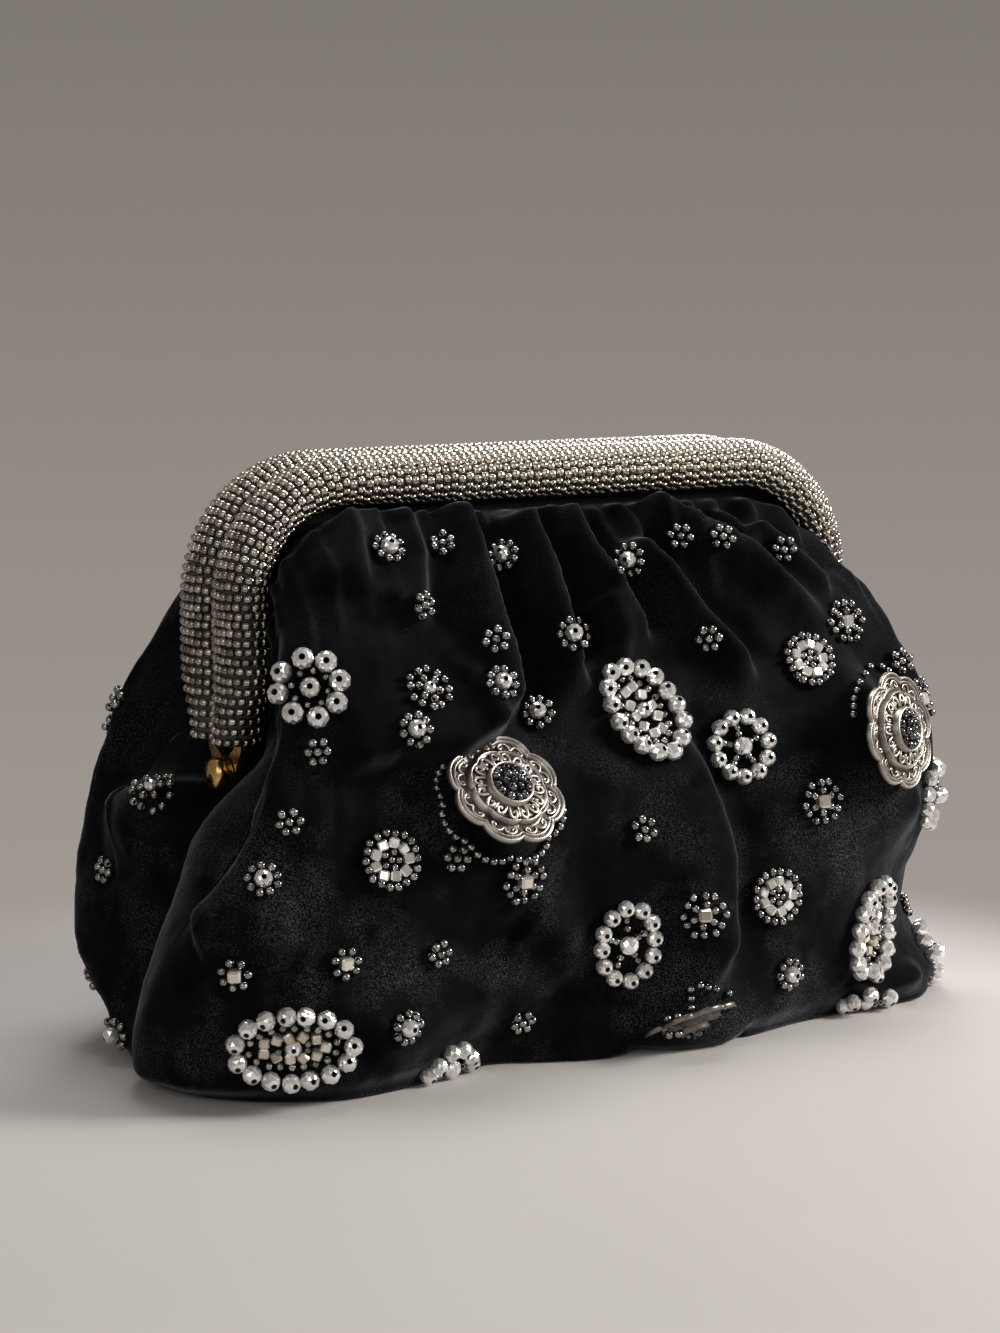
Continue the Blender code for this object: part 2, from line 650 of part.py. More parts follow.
def frame_half(half, rear, looks):
    """The beaded rolls, padding, channel, paper cord, magnets and hinge lugs of one half of the frame."""
    rolls = frame_stations()
    ends = len(rolls) - 1
    corner = 1 + ARM_STEPS + CORNER_STEPS // 2
    runs = {"left": (0, corner), "top": (corner, ends - corner), "right": (ends - corner, ends)}
    for place, (first, last) in runs.items():
        run = part_way(rolls, first, last)
        body(f"bead_roll_{half}_{place}", *sweep(run, bead_section), looks["seed_beads"], HINGE_ORIGIN, rear)
    cores = rolls[1:-1]
    pad = body(f"frame_padding_{half}", *sweep(cores, pad_section), looks["padding"], HINGE_ORIGIN, rear)
    body(f"frame_channel_{half}", *sweep(cores, channel_section), looks["frame_steel"], HINGE_ORIGIN, rear)
    body(f"frame_cord_{half}", *sweep(cores, cord_section), looks["paper_cord"], HINGE_ORIGIN, rear)
    offset = (LUG_THICKNESS + CLEARANCE) / 2.0
    for side, place in SIDES:
        centre = (side * MAGNET_ACROSS, 0.0, FRAME_TOP)
        rings = [(-MAGNET_DEPTH, MAGNET_RADIUS), (-MAGNET_DEPTH + MAGNET_THICKNESS, MAGNET_RADIUS)]
        body(f"magnet_{half}_{place}", *turned(rings, centre, 1), looks["magnet"], HINGE_ORIGIN, rear)
        wide = MAGNET_RADIUS + CLEARANCE
        rings = [(-MAGNET_DEPTH - CLEARANCE, wide), (BEAD_LAYER, wide)]
        pocket_form = turned(rings, centre, 1)
        pocket = body(f"cutter_{half}_{place}", *pocket_form, looks["padding"], HINGE_ORIGIN, rear)
        cut(pad, pocket)
        across = FRAME_HALF_SPAN + (offset if rear else -offset)
        lug(f"hinge_lug_{half}_{place}", side, across, looks["brass"], rear)


def cloth_half(half, rear, looks):
    """The velvet and lining of one side of the pouch, each parted between the pouch and the frame."""

    def below(controls, share):
        return share_at_height(controls, split_height(share))

    def above(controls, share):
        return share_at_height(controls, split_height(share) + 2.0 * CLEARANCE)

    def foot(controls, share):
        return 0.0

    def crown(controls, share):
        return 1.0

    face, behind = 0.0, VELVET_THICKNESS
    look = looks["velvet"]
    lower = panel(foot, below, columns(), LOWER_STEPS, face, behind)
    body(f"velvet_{half}_lower", *lower, look, WORLD_ORIGIN, rear)
    upper = panel(above, crown, columns(), UPPER_STEPS, face, behind, 0.0)
    body(f"velvet_{half}_upper", *upper, look, HINGE_ORIGIN, rear)
    face = VELVET_THICKNESS + LINING_DROP
    behind = face + LINING_THICKNESS
    look = looks["lining"]
    lower = panel(foot, below, columns(), LOWER_STEPS, face, behind)
    body(f"lining_{half}_lower", *lower, look, WORLD_ORIGIN, rear)
    between_arms = [share for share in columns() if LINING_SIDE_SHARE < share < 1.0 - LINING_SIDE_SHARE]
    upper = panel(above, crown, between_arms, UPPER_STEPS, face, behind, VELVET_THICKNESS + SEAM_GAP)
    body(f"lining_{half}_upper", *upper, look, HINGE_ORIGIN, rear)


def slip_pocket(look):
    """A flat pocket sewn inside the rear lining."""

    def low(controls, share):
        return share_at_height(controls, POCKET_LOW)

    def high(controls, share):
        return share_at_height(controls, POCKET_HIGH)

    face = VELVET_THICKNESS + LINING_DROP + LINING_THICKNESS + POCKET_GAP
    width = 1.0 - 2.0 * POCKET_SIDE_SHARE
    shares = [POCKET_SIDE_SHARE + width * i / POCKET_STEPS for i in range(POCKET_STEPS + 1)]
    sheet = panel(low, high, shares, UPPER_STEPS, face, face + LINING_THICKNESS)
    body("slip_pocket", *sheet, look, WORLD_ORIGIN, True)


def base(looks):
    """The velvet base, the board that stiffens it and the lining over the board."""
    low = 0.0
    layers = (
        ("velvet_base", BASE_INSET, BASE_VELVET_THICKNESS, looks["velvet"]),
        ("base_board", BOARD_INSET, BOARD_THICKNESS, looks["board"]),
        ("lining_base", LINING_BASE_INSET, LINING_THICKNESS, looks["lining"]),
    )
    for name, inset, thickness, look in layers:
        body(name, *slab(BASE_HALF_LENGTH - inset, BASE_HALF_DEPTH - inset, low, low + thickness), look)
        low += thickness + CLEARANCE


def build():
    looks = {name: material(name, *values) for name, values in LOOKS.items()}
    for half, rear in (("front", False), ("rear", True)):
        frame_half(half, rear, looks)
        cloth_half(half, rear, looks)
    slip_pocket(looks["lining"])
    base(looks)
    for side, place in SIDES:
        pin(f"hinge_pin_{place}", side, looks["brass"])
    tables = (
        (ARM_MOTIF_SHARES, FRAME_HALF_SPAN, HINGE_ORIGIN, False),
        (FRONT_MOTIF_SHARES, BASE_HALF_LENGTH, WORLD_ORIGIN, False),
        (REAR_MOTIF_SHARES, BASE_HALF_LENGTH, WORLD_ORIGIN, True),
    )
    for motifs, width, origin, rear in tables:
        for name, (kind, across_share, height_share) in motifs.items():
            look = looks["cube_beads" if kind == "round" else "facet_beads"]
            bead_ring(name, kind, across_share * width, height_share * FRAME_TOP, look, origin, rear)
    for rear, plates in ((False, FRONT_MEDALLION_SHARES), (True, REAR_MEDALLION_SHARES)):
        for name, (across_share, height_share) in plates.items():
            across, height = across_share * BASE_HALF_LENGTH, height_share * FRAME_TOP
            medallion(name, across, height, looks["medallion_metal"], looks["seed_beads"], rear)


for old in list(bpy.data.objects):
    bpy.data.objects.remove(old, do_unlink=True)
build()
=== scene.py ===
"""A black velvet clutch with a beaded hinged frame and beaded motifs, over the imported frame."""
import math
import random

import bmesh
import bpy
import numpy as np
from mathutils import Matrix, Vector, noise
from mathutils.bvhtree import BVHTree

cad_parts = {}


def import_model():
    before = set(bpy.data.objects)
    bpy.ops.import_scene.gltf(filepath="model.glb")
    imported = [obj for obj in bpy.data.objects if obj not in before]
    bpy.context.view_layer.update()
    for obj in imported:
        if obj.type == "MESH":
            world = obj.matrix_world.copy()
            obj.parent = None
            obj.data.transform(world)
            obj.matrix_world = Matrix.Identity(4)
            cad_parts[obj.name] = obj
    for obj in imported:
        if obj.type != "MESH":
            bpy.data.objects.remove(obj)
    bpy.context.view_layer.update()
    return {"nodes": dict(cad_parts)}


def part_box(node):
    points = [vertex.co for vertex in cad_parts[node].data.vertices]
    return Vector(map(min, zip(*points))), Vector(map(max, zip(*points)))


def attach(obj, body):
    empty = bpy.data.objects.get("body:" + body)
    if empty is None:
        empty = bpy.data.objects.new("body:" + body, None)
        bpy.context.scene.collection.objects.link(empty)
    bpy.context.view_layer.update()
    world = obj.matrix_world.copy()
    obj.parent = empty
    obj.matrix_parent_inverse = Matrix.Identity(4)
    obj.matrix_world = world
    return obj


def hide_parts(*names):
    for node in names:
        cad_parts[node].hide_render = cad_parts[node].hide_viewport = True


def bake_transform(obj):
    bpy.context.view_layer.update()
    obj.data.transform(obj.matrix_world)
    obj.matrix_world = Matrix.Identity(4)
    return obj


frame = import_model()
RANDOM = random.Random(7)

# Camera, in pixels of the 1000 x 1333 photograph
EYE = np.array([-0.4076, -0.6912, 0.2210])
TARGET = np.array([-0.0085, 0.0, 0.1017])
PHOTO_WIDTH = 1000.0
PHOTO_HEIGHT = 1333.0
FOCAL_PIXELS = 2829.0
SENSOR_WIDTH = 36.0

# Frame, as in the CAD part
FRAME_HALF_SPAN = 0.0940
FRAME_TOP = 0.1575
CORNER_RADIUS = 0.0305
HINGE_HEIGHT = 0.0790
ROLL_FOOT = 0.0876
CORE_FOOT = 0.0930
ARM_FULL_HEIGHT = 0.1080
ROLL_HALF_HEIGHT = 0.0075
TOP_HALF_DEPTH = 0.0095
ARM_HALF_DEPTH = 0.0105
FOOT_HALF_DEPTH = 0.0065
HALF_GAP = 0.00015

# Cloth: as in the CAD part, with a fuller foot and front
BASE_HALF_LENGTH = 0.1220
BASE_HALF_DEPTH = 0.0500
BASE_LIFT = 0.0004
BELLY_HEIGHT = 0.0360
SEAM_BELLY_HEIGHT = 0.0300
BELLY_LENGTH_SHARE = 1.19
RIGHT_LENGTH_SHARE = 1.12

# Where the cloth is drawn in: a waist above the right foot, a tuck and a valley by the left seam
WAIST_HEIGHT = 0.026
WAIST_REACH_UP = 0.031
WAIST_REACH_DOWN = 0.018
WAIST_SHARE = 0.29
WAIST_START_SHARE = 0.62
WAIST_EASE_SHARE = 0.12
TUCK_HEIGHT = 0.008
TUCK_REACH = 0.018
TUCK_SHARE = 0.24
TUCK_SEAM_SHARE = 0.11
TUCK_SEAM_WIDTH_SHARE = 0.08
TUCK_END_SHARE = 0.26
TUCK_EASE_SHARE = 0.12
VALLEY_HEIGHT = 0.044
VALLEY_REACH = 0.032
VALLEY_SHARE = 0.52
VALLEY_WIDTH_FRONT = 0.085
VALLEY_WIDTH_REAR = 0.170
DRAW_CENTRE = 0.086
# Under the medallion at the front's foot
UNDERCUT_ACROSS = 0.0180
UNDERCUT_WIDTH = 0.0165
UNDERCUT_FOOT = 0.0470
UNDERCUT_SLOPE = 2.0

BELLY_DEPTH_SHARE = 1.20
OUTLINE_POWER = 3.0
MOUTH_DROP = 0.0015
MOUTH_REACH = 0.0034
MOUTH_AHEAD = 0.0016
GATHER_FORWARD = 0.0450
GATHER_DOWN_TOP = 0.0310
GATHER_DOWN_ARM = 0.0070
GATHER_OUT = 0.0240
GATHER_LEFT_OUT = -0.0060
SEAM_TOP_ACROSS = 0.0858
SEAM_TOP_DROP = 0.0085
SEAM_OUT = 0.0490
SEAM_DOWN = 0.0035
END_SHARE = 2.0 / 24.0
VELVET_THICKNESS = 0.0012
LINING_DROP = 0.0040
LINING_THICKNESS = 0.0006
OFF_FLOOR = 0.0002
OFF_MIDDLE = HALF_GAP * 0.5
CLOTH_COLUMNS = 340
CLOTH_ROWS = 150
PAD_HALF_LENGTH = 0.1184
PAD_HALF_DEPTH = 0.0394
PAD_THICKNESS = 0.0018
UNDER_ROWS = 6
UNDER_INSET = 0.0010
OUTLINE_STEPS = 720
FOOT_SMOOTHING = 20

# Where the cloth meets the floor, seen from above, from the left seam round the front to the right seam
FOOT_LINE = (
    (-0.1230, -0.0001), (-0.1245, -0.0120), (-0.1215, -0.0250), (-0.1130, -0.0390), (-0.1010, -0.0480),
    (-0.0850, -0.0545), (-0.0680, -0.0530), (-0.0370, -0.0430), (-0.0030, -0.0575), (0.0350, -0.0580),
    (0.0600, -0.0520), (0.0820, -0.0500), (0.1050, -0.0520), (0.1190, -0.0400), (0.1245, -0.0180),
    (0.1235, -0.0001),
)

# Heights below which a piece on the cloth goes with the pouch, and above which with its half of the frame
FOLLOW_FROM = 0.020
FOLLOW_TO = 0.145

Z_AXIS = np.array([0.0, 0.0, 1.0])
FRONT_TO_REAR = np.array([1.0, -1.0, 1.0])
LEFT_TO_RIGHT = np.array([-1.0, 1.0, 1.0])
HALVES = ("front", "rear")


def unit(v):
    return v / np.linalg.norm(v)


def smooth(x):
    x = np.clip(x, 0.0, 1.0)
    return x * x * (3.0 - 2.0 * x)


def bell(distance, reach, power=2):
    """1 in the middle, falling to nothing past the reach."""
    return np.exp(-((distance / reach) ** power))


def run_along(line):
    """Distance of each point of a line from its start."""
    return np.concatenate([[0.0], np.cumsum(np.linalg.norm(np.diff(line, axis=0), axis=1))])


def turns_round(count):
    return [2.0 * math.pi * i / count for i in range(count)]


FORWARD = unit(TARGET - EYE)
RIGHT = unit(np.cross(FORWARD, Z_AXIS))
UP = np.cross(RIGHT, FORWARD)


def pixel_ray(x, y):
    """Direction from the eye through a pixel of the photograph."""
    across, down = x - PHOTO_WIDTH / 2.0, y - PHOTO_HEIGHT / 2.0
    return unit(FORWARD * FOCAL_PIXELS + RIGHT * across - UP * down)


# Materials


def node(tree, kind, values=None, **settings):
    made = tree.nodes.new(kind)
    for name, value in settings.items():
        setattr(made, name, value)
    for name, value in (values or {}).items():
        made.inputs[name].default_value = value
    return made


def noise_node(tree, place, scale, detail=3.0, rough=0.55):
    made = node(tree, "ShaderNodeTexNoise", {"Scale": scale, "Detail": detail, "Roughness": rough})
    tree.links.new(place, made.inputs["Vector"])
    return made.outputs["Fac"]


def ramp_node(tree, value, low, high, first, last):
    """Maps a value from low..high to first..last."""
    ends = {"From Min": low, "From Max": high, "To Min": first, "To Max": last}
    made = node(tree, "ShaderNodeMapRange", ends)
    tree.links.new(value, made.inputs["Value"])
    return made.outputs["Result"]


def math_node(tree, operation, first, second):
    made = node(tree, "ShaderNodeMath", operation=operation)
    tree.links.new(first, made.inputs[0])
    tree.links.new(second, made.inputs[1])
    return made.outputs["Value"]


def mix_node(tree, share, dark, light):
    made = node(tree, "ShaderNodeMix", data_type="RGBA")
    tree.links.new(share, made.inputs["Factor"])
    for socket, colour in ((made.inputs["A"], dark), (made.inputs["B"], light)):
        if isinstance(colour, tuple):
            socket.default_value = (*colour, 1.0)
        else:
            tree.links.new(colour, socket)
    return made.outputs["Result"]


NOISE_RANGE = (0.3, 0.7)
PATCH_SHARE = 0.3
# Painted sheen on rubbed pile: the height below which the paler fleck shows most, and its patches
RUBBED_SHEEN_BELOW = 0.050
RUBBED_SHEEN_PATCH_SHARE = 0.45
RUBBED_SHEEN_HIGH_UP = 0.25
RUBBED_SHEEN_RANGE = (0.46, 0.64)
STANDING_SHEEN_RANGE = (0.48, 0.64)


def finish(name, dark, light, rough, metallic=0.0, patch=60.0, grain=1500.0, relief=0.3, depth=0.0002,
           tone=None, fixed=None, rubbed_sheen_fleck=None):
    """A surface: two colours mixed by patches (and by an attribute), patchy roughness and a fine grain.

    The fleck colour, if given, is painted sheen on rubbed pile: a third, paler colour that the grain brings
    up in patches, most of all low down.
    """
    made = bpy.data.materials.new(name)
    made.use_nodes = True
    tree = made.node_tree
    shader = tree.nodes["Principled BSDF"]
    place = node(tree, "ShaderNodeTexCoord").outputs["Object"]
    share = ramp_node(tree, noise_node(tree, place, patch), *NOISE_RANGE, 0.0, 1.0)
    if tone:
        by_piece = node(tree, "ShaderNodeAttribute", attribute_name=tone).outputs["Fac"]
        both = node(tree, "ShaderNodeMath", {1: PATCH_SHARE}, operation="MULTIPLY_ADD", use_clamp=True)
        tree.links.new(share, both.inputs[0])
        tree.links.new(by_piece, both.inputs[2])
        share = both.outputs["Value"]
    fine = noise_node(tree, place, grain, 2.0)
    colour = mix_node(tree, share, dark, light)
    # Painted sheen: paler flecks in patches of rubbed pile, most of all low down
    if rubbed_sheen_fleck:
        height = node(tree, "ShaderNodeSeparateXYZ")
        tree.links.new(place, height.inputs[0])
        low_down = ramp_node(tree, height.outputs["Z"], RUBBED_SHEEN_BELOW, RUBBED_SHEEN_BELOW * 2.0, 1.0, RUBBED_SHEEN_HIGH_UP)
        rubbed_sheen_patches = noise_node(tree, place, patch * RUBBED_SHEEN_PATCH_SHARE)
        rubbed_sheen = ramp_node(tree, rubbed_sheen_patches, *RUBBED_SHEEN_RANGE, 0.0, 1.0)
        standing_nap_sheen = ramp_node(tree, fine, *STANDING_SHEEN_RANGE, 0.0, 1.0)
        amount = math_node(tree, "MULTIPLY", math_node(tree, "MULTIPLY", rubbed_sheen, standing_nap_sheen), low_down)
        colour = mix_node(tree, amount, colour, rubbed_sheen_fleck)
    tree.links.new(colour, shader.inputs["Base Color"])
    tree.links.new(ramp_node(tree, fine, *NOISE_RANGE, *rough), shader.inputs["Roughness"])
    bump = node(tree, "ShaderNodeBump", {"Strength": relief, "Distance": depth})
    tree.links.new(fine, bump.inputs["Height"])
    tree.links.new(bump.outputs["Normal"], shader.inputs["Normal"])
    for socket, value in {"Metallic": metallic, **(fixed or {})}.items():
        shader.inputs[socket].default_value = value
    return made


VELVET_SHEEN = {"Sheen Weight": 0.23, "Sheen Roughness": 0.30, "Sheen Tint": (0.78, 0.82, 0.92, 1.0),
                "Specular IOR Level": 0.04}
SATIN_SHEEN = {"Sheen Weight": 0.15, "Specular IOR Level": 0.5}

LOOKS = {
    # The velvet's fleck colour is painted sheen on patches of rubbed pile
    "velvet": finish("velvet_pile", (0.0008, 0.0010, 0.0014), (0.0036, 0.0040, 0.0048), (0.75, 0.95),
                     patch=95.0, grain=2300.0, relief=0.6, depth=0.0003, fixed=VELVET_SHEEN,
                     rubbed_sheen_fleck=(0.050, 0.050, 0.052)),
    "lining": finish("lining_satin", (0.012, 0.012, 0.015), (0.028, 0.028, 0.032), (0.32, 0.48),
                     patch=45.0, grain=1800.0, relief=0.2, fixed=SATIN_SHEEN),
    "roll_seeds": finish("seed_beads_pewter", (0.075, 0.066, 0.058), (0.62, 0.57, 0.50), (0.13, 0.26), 1.0,
                         patch=300.0, grain=700.0, relief=0.08, tone="tone"),
    "seeds": finish("seed_beads_gunmetal", (0.045, 0.045, 0.046), (0.42, 0.415, 0.40), (0.06, 0.13), 0.95,
                    patch=300.0, grain=700.0, relief=0.05, tone="tone"),
    "black_seeds": finish("seed_beads_black", (0.015, 0.015, 0.017), (0.17, 0.17, 0.175), (0.05, 0.10), 0.9,
                          patch=300.0, grain=700.0, relief=0.05, tone="tone"),
    "facets": finish("faceted_beads_silver", (0.66, 0.65, 0.63), (0.95, 0.94, 0.92), (0.07, 0.16), 0.76,
                     patch=250.0, grain=900.0, relief=0.05, tone="tone"),
    "cubes": finish("cube_beads_champagne", (0.52, 0.43, 0.32), (0.96, 0.94, 0.90), (0.08, 0.16), 0.75,
                    patch=160.0, grain=600.0, relief=0.04, tone="tone"),
    # Painted shade: near-black inside the bead holes, where shade falls
    "hole_painted_shade": finish("bead_hole_painted_shade", (0.004, 0.004, 0.004), (0.012, 0.011, 0.010), (0.6, 0.8),
                    patch=300.0, grain=900.0, relief=0.1),
    "filigree": finish("medallion_silver", (0.020, 0.017, 0.014), (0.50, 0.455, 0.40), (0.26, 0.44), 0.9,
                       patch=260.0, grain=1600.0, relief=0.25, depth=0.00015, tone="tone"),
    "brass": finish("hinge_brass", (0.52, 0.31, 0.10), (0.80, 0.53, 0.22), (0.16, 0.32), 1.0,
                    patch=180.0, grain=1400.0, relief=0.12),
    "steel": finish("frame_steel_plate", (0.30, 0.29, 0.28), (0.52, 0.51, 0.50), (0.25, 0.42), 1.0,
                    patch=120.0, grain=1500.0, relief=0.15),
    "board": finish("base_board_fibre", (0.20, 0.15, 0.10), (0.34, 0.27, 0.20), (0.75, 0.95),
                    patch=120.0, grain=2200.0, relief=0.5),
    "paper": finish("paper_cord_fibre", (0.42, 0.34, 0.24), (0.62, 0.54, 0.42), (0.75, 0.95),
                    patch=160.0, grain=2200.0, relief=0.5),
    "magnet": finish("magnet_nickel", (0.42, 0.42, 0.43), (0.62, 0.62, 0.63), (0.15, 0.28), 1.0,
                     patch=200.0, grain=1500.0, relief=0.1),
    "roll": finish("roll_fabric", (0.030, 0.028, 0.026), (0.075, 0.070, 0.064), (0.5, 0.8),
                   patch=160.0, grain=2400.0, relief=0.6, depth=0.0003),
}
CAD_LOOKS = {
    "board": ("base_board",),
    "steel": ("frame_channel_front", "frame_channel_rear"),
    "paper": ("frame_cord_front", "frame_cord_rear"),
    "magnet": tuple(f"magnet_{half}_{side}" for half in HALVES for side in ("left", "right")),
    "brass": tuple(f"hinge_lug_{half}_{side}" for half in HALVES for side in ("left", "right"))
    + ("hinge_pin_left", "hinge_pin_right"),
}
for look, names in CAD_LOOKS.items():
    for name in names:
        for held in frame["nodes"][name].material_slots:
            held.material = LOOKS[look]


# Meshes


def piece(name, points, faces, looks, parts=None, flat_parts=(), tones=None):
    """A mesh object. parts gives each face's material, and faces of flat_parts are left unsmoothed."""
    mesh = bpy.data.meshes.new(name)
    mesh.from_pydata(np.asarray(points).tolist(), [], faces)
    for look in looks:
        mesh.materials.append(LOOKS[look])
    parts = np.zeros(len(faces), dtype=np.int32) if parts is None else np.asarray(parts, dtype=np.int32)
    mesh.polygons.foreach_set("material_index", parts)
    mesh.polygons.foreach_set("use_smooth", ~np.isin(parts, flat_parts))
    if tones is not None:
        tone = mesh.attributes.new("tone", "FLOAT", "POINT")
        tone.data.foreach_set("value", np.asarray(tones, dtype=np.float32))
    mesh.update()
    made = bpy.data.objects.new(name, mesh)
    bpy.context.scene.collection.objects.link(made)
    return made


def stand_for(made, slot, *nodes):
    """The material slot of a piece, which is not used, and the CAD nodes that it stands for, which are
    hidden.
    """
    if nodes:
        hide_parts(*nodes)


def ring_quads(rings, sides, start=0, inward=False):
    """Faces between closed rings of points."""
    faces = []
    for k in range(rings - 1):
        for i in range(sides):
            a, b = start + k * sides + i, start + k * sides + (i + 1) % sides
            faces.append((a, a + sides, b + sides, b) if inward else (a, b, b + sides, a + sides))
    return faces


def ring_caps(rings, sides, start=0):
    """The end faces of a stack of rings."""
    last = start + (rings - 1) * sides
    return [tuple(range(start, start + sides))[::-1], tuple(range(last, last + sides))]


def flipped(faces):
    return [face[::-1] for face in faces]


def turned_form(profile, sides, parts=None, twist=0.0):
    """A form turned about Z from (radius, height) rings, each ring twisted on by a share of a side.

    parts marks the faces after each ring, and a form without it is capped.
    """
    points = []
    for k, (radius, height) in enumerate(profile):
        for i in range(sides):
            turn = 2.0 * math.pi * (i + twist * k) / sides
            points.append((radius * math.cos(turn), radius * math.sin(turn), height))
    faces = ring_quads(len(profile), sides)
    marks = np.repeat(parts or [0] * (len(profile) - 1), sides).tolist()
    if twist:
        faces = [half for a, b, c, d in faces for half in ((a, b, d), (b, c, d))]
        marks = np.repeat(marks, 2).tolist()
    if parts is None:
        faces += ring_caps(len(profile), sides)
        marks += [0, 0]
    return np.array(points), faces, marks


def cube_form(bevel):
    """A cube of half size 1 with bevelled edges and corners."""
    shape = bmesh.new()
    bmesh.ops.create_cube(shape, size=2.0)
    bmesh.ops.bevel(shape, geom=shape.edges[:], offset=bevel, segments=1, profile=0.5, affect="EDGES")
    shape.verts.index_update()
    points = np.array([vertex.co[:] for vertex in shape.verts])
    faces = [tuple(vertex.index for vertex in face.verts) for face in shape.faces]
    shape.free()
    return points, faces, [0] * len(faces)


BARREL = turned_form(((0.45, -0.95), (0.86, -0.82), (1.0, -0.3), (1.0, 0.3), (0.86, 0.82), (0.45, 0.95)), 10)
SEED = turned_form(
    ((0.26, 0.0), (0.30, -0.66), (0.66, -0.80), (0.95, -0.42), (1.0, 0.0), (0.95, 0.42), (0.66, 0.80),
     (0.30, 0.66), (0.26, 0.0)), 10, (1, 0, 0, 0, 0, 0, 0, 1))
FACET = turned_form(
    ((0.26, 0.2), (0.30, -0.92), (0.64, -0.78), (0.90, -0.44), (1.0, 0.0), (0.90, 0.44), (0.64, 0.78),
     (0.30, 0.92), (0.26, -0.2)), 8, (1, 0, 0, 0, 0, 0, 0, 1), 0.5)
CUBE = cube_form(0.32)


class Pile:
    """Many small forms gathered into one mesh."""

    def __init__(self):
        self.points, self.faces, self.parts, self.tones = [], [], [], []
        self.count = 0

    def add(self, form, at, axes, size, tone, part=0, hole=0):
        """A form at a place, on three axes, of a half size (one value or three), with its tone and looks."""
        points, faces, marks = form
        start = self.count
        self.points.append(at + (points * size) @ axes)
        self.faces += [tuple(start + i for i in face) for face in faces]
        # Faces marked in a form, the insides of bead holes, take the painted shade part
        self.parts += [hole if mark else part for mark in marks]
        self.tones.append(np.full(len(points), tone))
        self.count += len(points)

    def build(self, name, looks, flat_parts=()):
        points, tones = np.concatenate(self.points), np.concatenate(self.tones)
        return piece(name, points, self.faces, looks, self.parts, flat_parts, tones)


def axes_from(normal, hint):
    """Rows side, along and normal, with along as near the hint as it can be."""
    normal = unit(np.asarray(normal, dtype=float))
    along = unit(hint - normal * float(hint @ normal))
    return np.array([np.cross(along, normal), along, normal])


# Cloth


def half_depth(height):
    """Half the depth of a roll at a height: slim at the foot and fullest on the arm."""
    rise = smooth((height - ROLL_FOOT) / (ARM_FULL_HEIGHT - ROLL_FOOT))
    ease = smooth((height - ARM_FULL_HEIGHT) / (FRAME_TOP - ARM_FULL_HEIGHT))
    arm = FOOT_HALF_DEPTH + (ARM_HALF_DEPTH - FOOT_HALF_DEPTH) * rise
    return arm + (TOP_HALF_DEPTH - ARM_HALF_DEPTH) * ease


def outline(turn, length, depth):
    """A point on the left-to-right front half of a rounded oval."""
    share = 2.0 / OUTLINE_POWER
    c, s = math.cos(turn), math.sin(turn)
    return -length * math.copysign(abs(c) ** share, c), -depth * abs(s) ** share


def foot_reaches():
    """How far the foot of the cloth reaches against the plain oval, at even shares from seam to seam."""
    turns = np.linspace(0.0, math.pi, OUTLINE_STEPS + 1)
    plain = np.array([outline(turn, 1.0, 1.0) for turn in turns])
    bearings = np.arctan2(-plain[:, 1], -plain[:, 0])
    seen = np.array(FOOT_LINE) / (BASE_HALF_LENGTH, BASE_HALF_DEPTH)
    seen_bearings = np.arctan2(-seen[:, 1], -seen[:, 0])
    plain_there = np.interp(seen_bearings, bearings, np.linalg.norm(plain, axis=1))
    reaches = np.interp(bearings, seen_bearings, np.linalg.norm(seen, axis=1) / plain_there)
    padded = np.pad(reaches, FOOT_SMOOTHING, mode="edge")
    window = np.hanning(2 * FOOT_SMOOTHING + 1)
    return np.convolve(padded, window / window.sum(), "valid")


FOOT_REACHES = foot_reaches()


def mouth_point(share):
    """A point on the inside of the roll, by share of the way along it, with the outward direction there."""
    bend, spring = FRAME_HALF_SPAN - CORNER_RADIUS, FRAME_TOP - CORNER_RADIUS
    inset = ROLL_HALF_HEIGHT + MOUTH_DROP
    inner = CORNER_RADIUS - inset
    arm, corner = spring - CORE_FOOT, math.pi / 2.0 * inner
    along = min(share, 1.0 - share) * 2.0 * (arm + corner + bend)
    if along < arm:
        x, z, out = -FRAME_HALF_SPAN + inset, CORE_FOOT + along, (-1.0, 0.0)
    elif along < arm + corner:
        turn = (along - arm) / inner
        out = (-math.cos(turn), math.sin(turn))
        x, z = -bend + inner * out[0], spring + inner * out[1]
    else:
        x, z, out = -bend + (along - arm - corner), FRAME_TOP - inset, (0.0, 1.0)
    if share > 0.5:
        x, out = -x, (-out[0], out[1])
    y = -(half_depth(z + inset * out[1]) + HALF_GAP) - MOUTH_AHEAD
    return np.array([x, y, z]), out


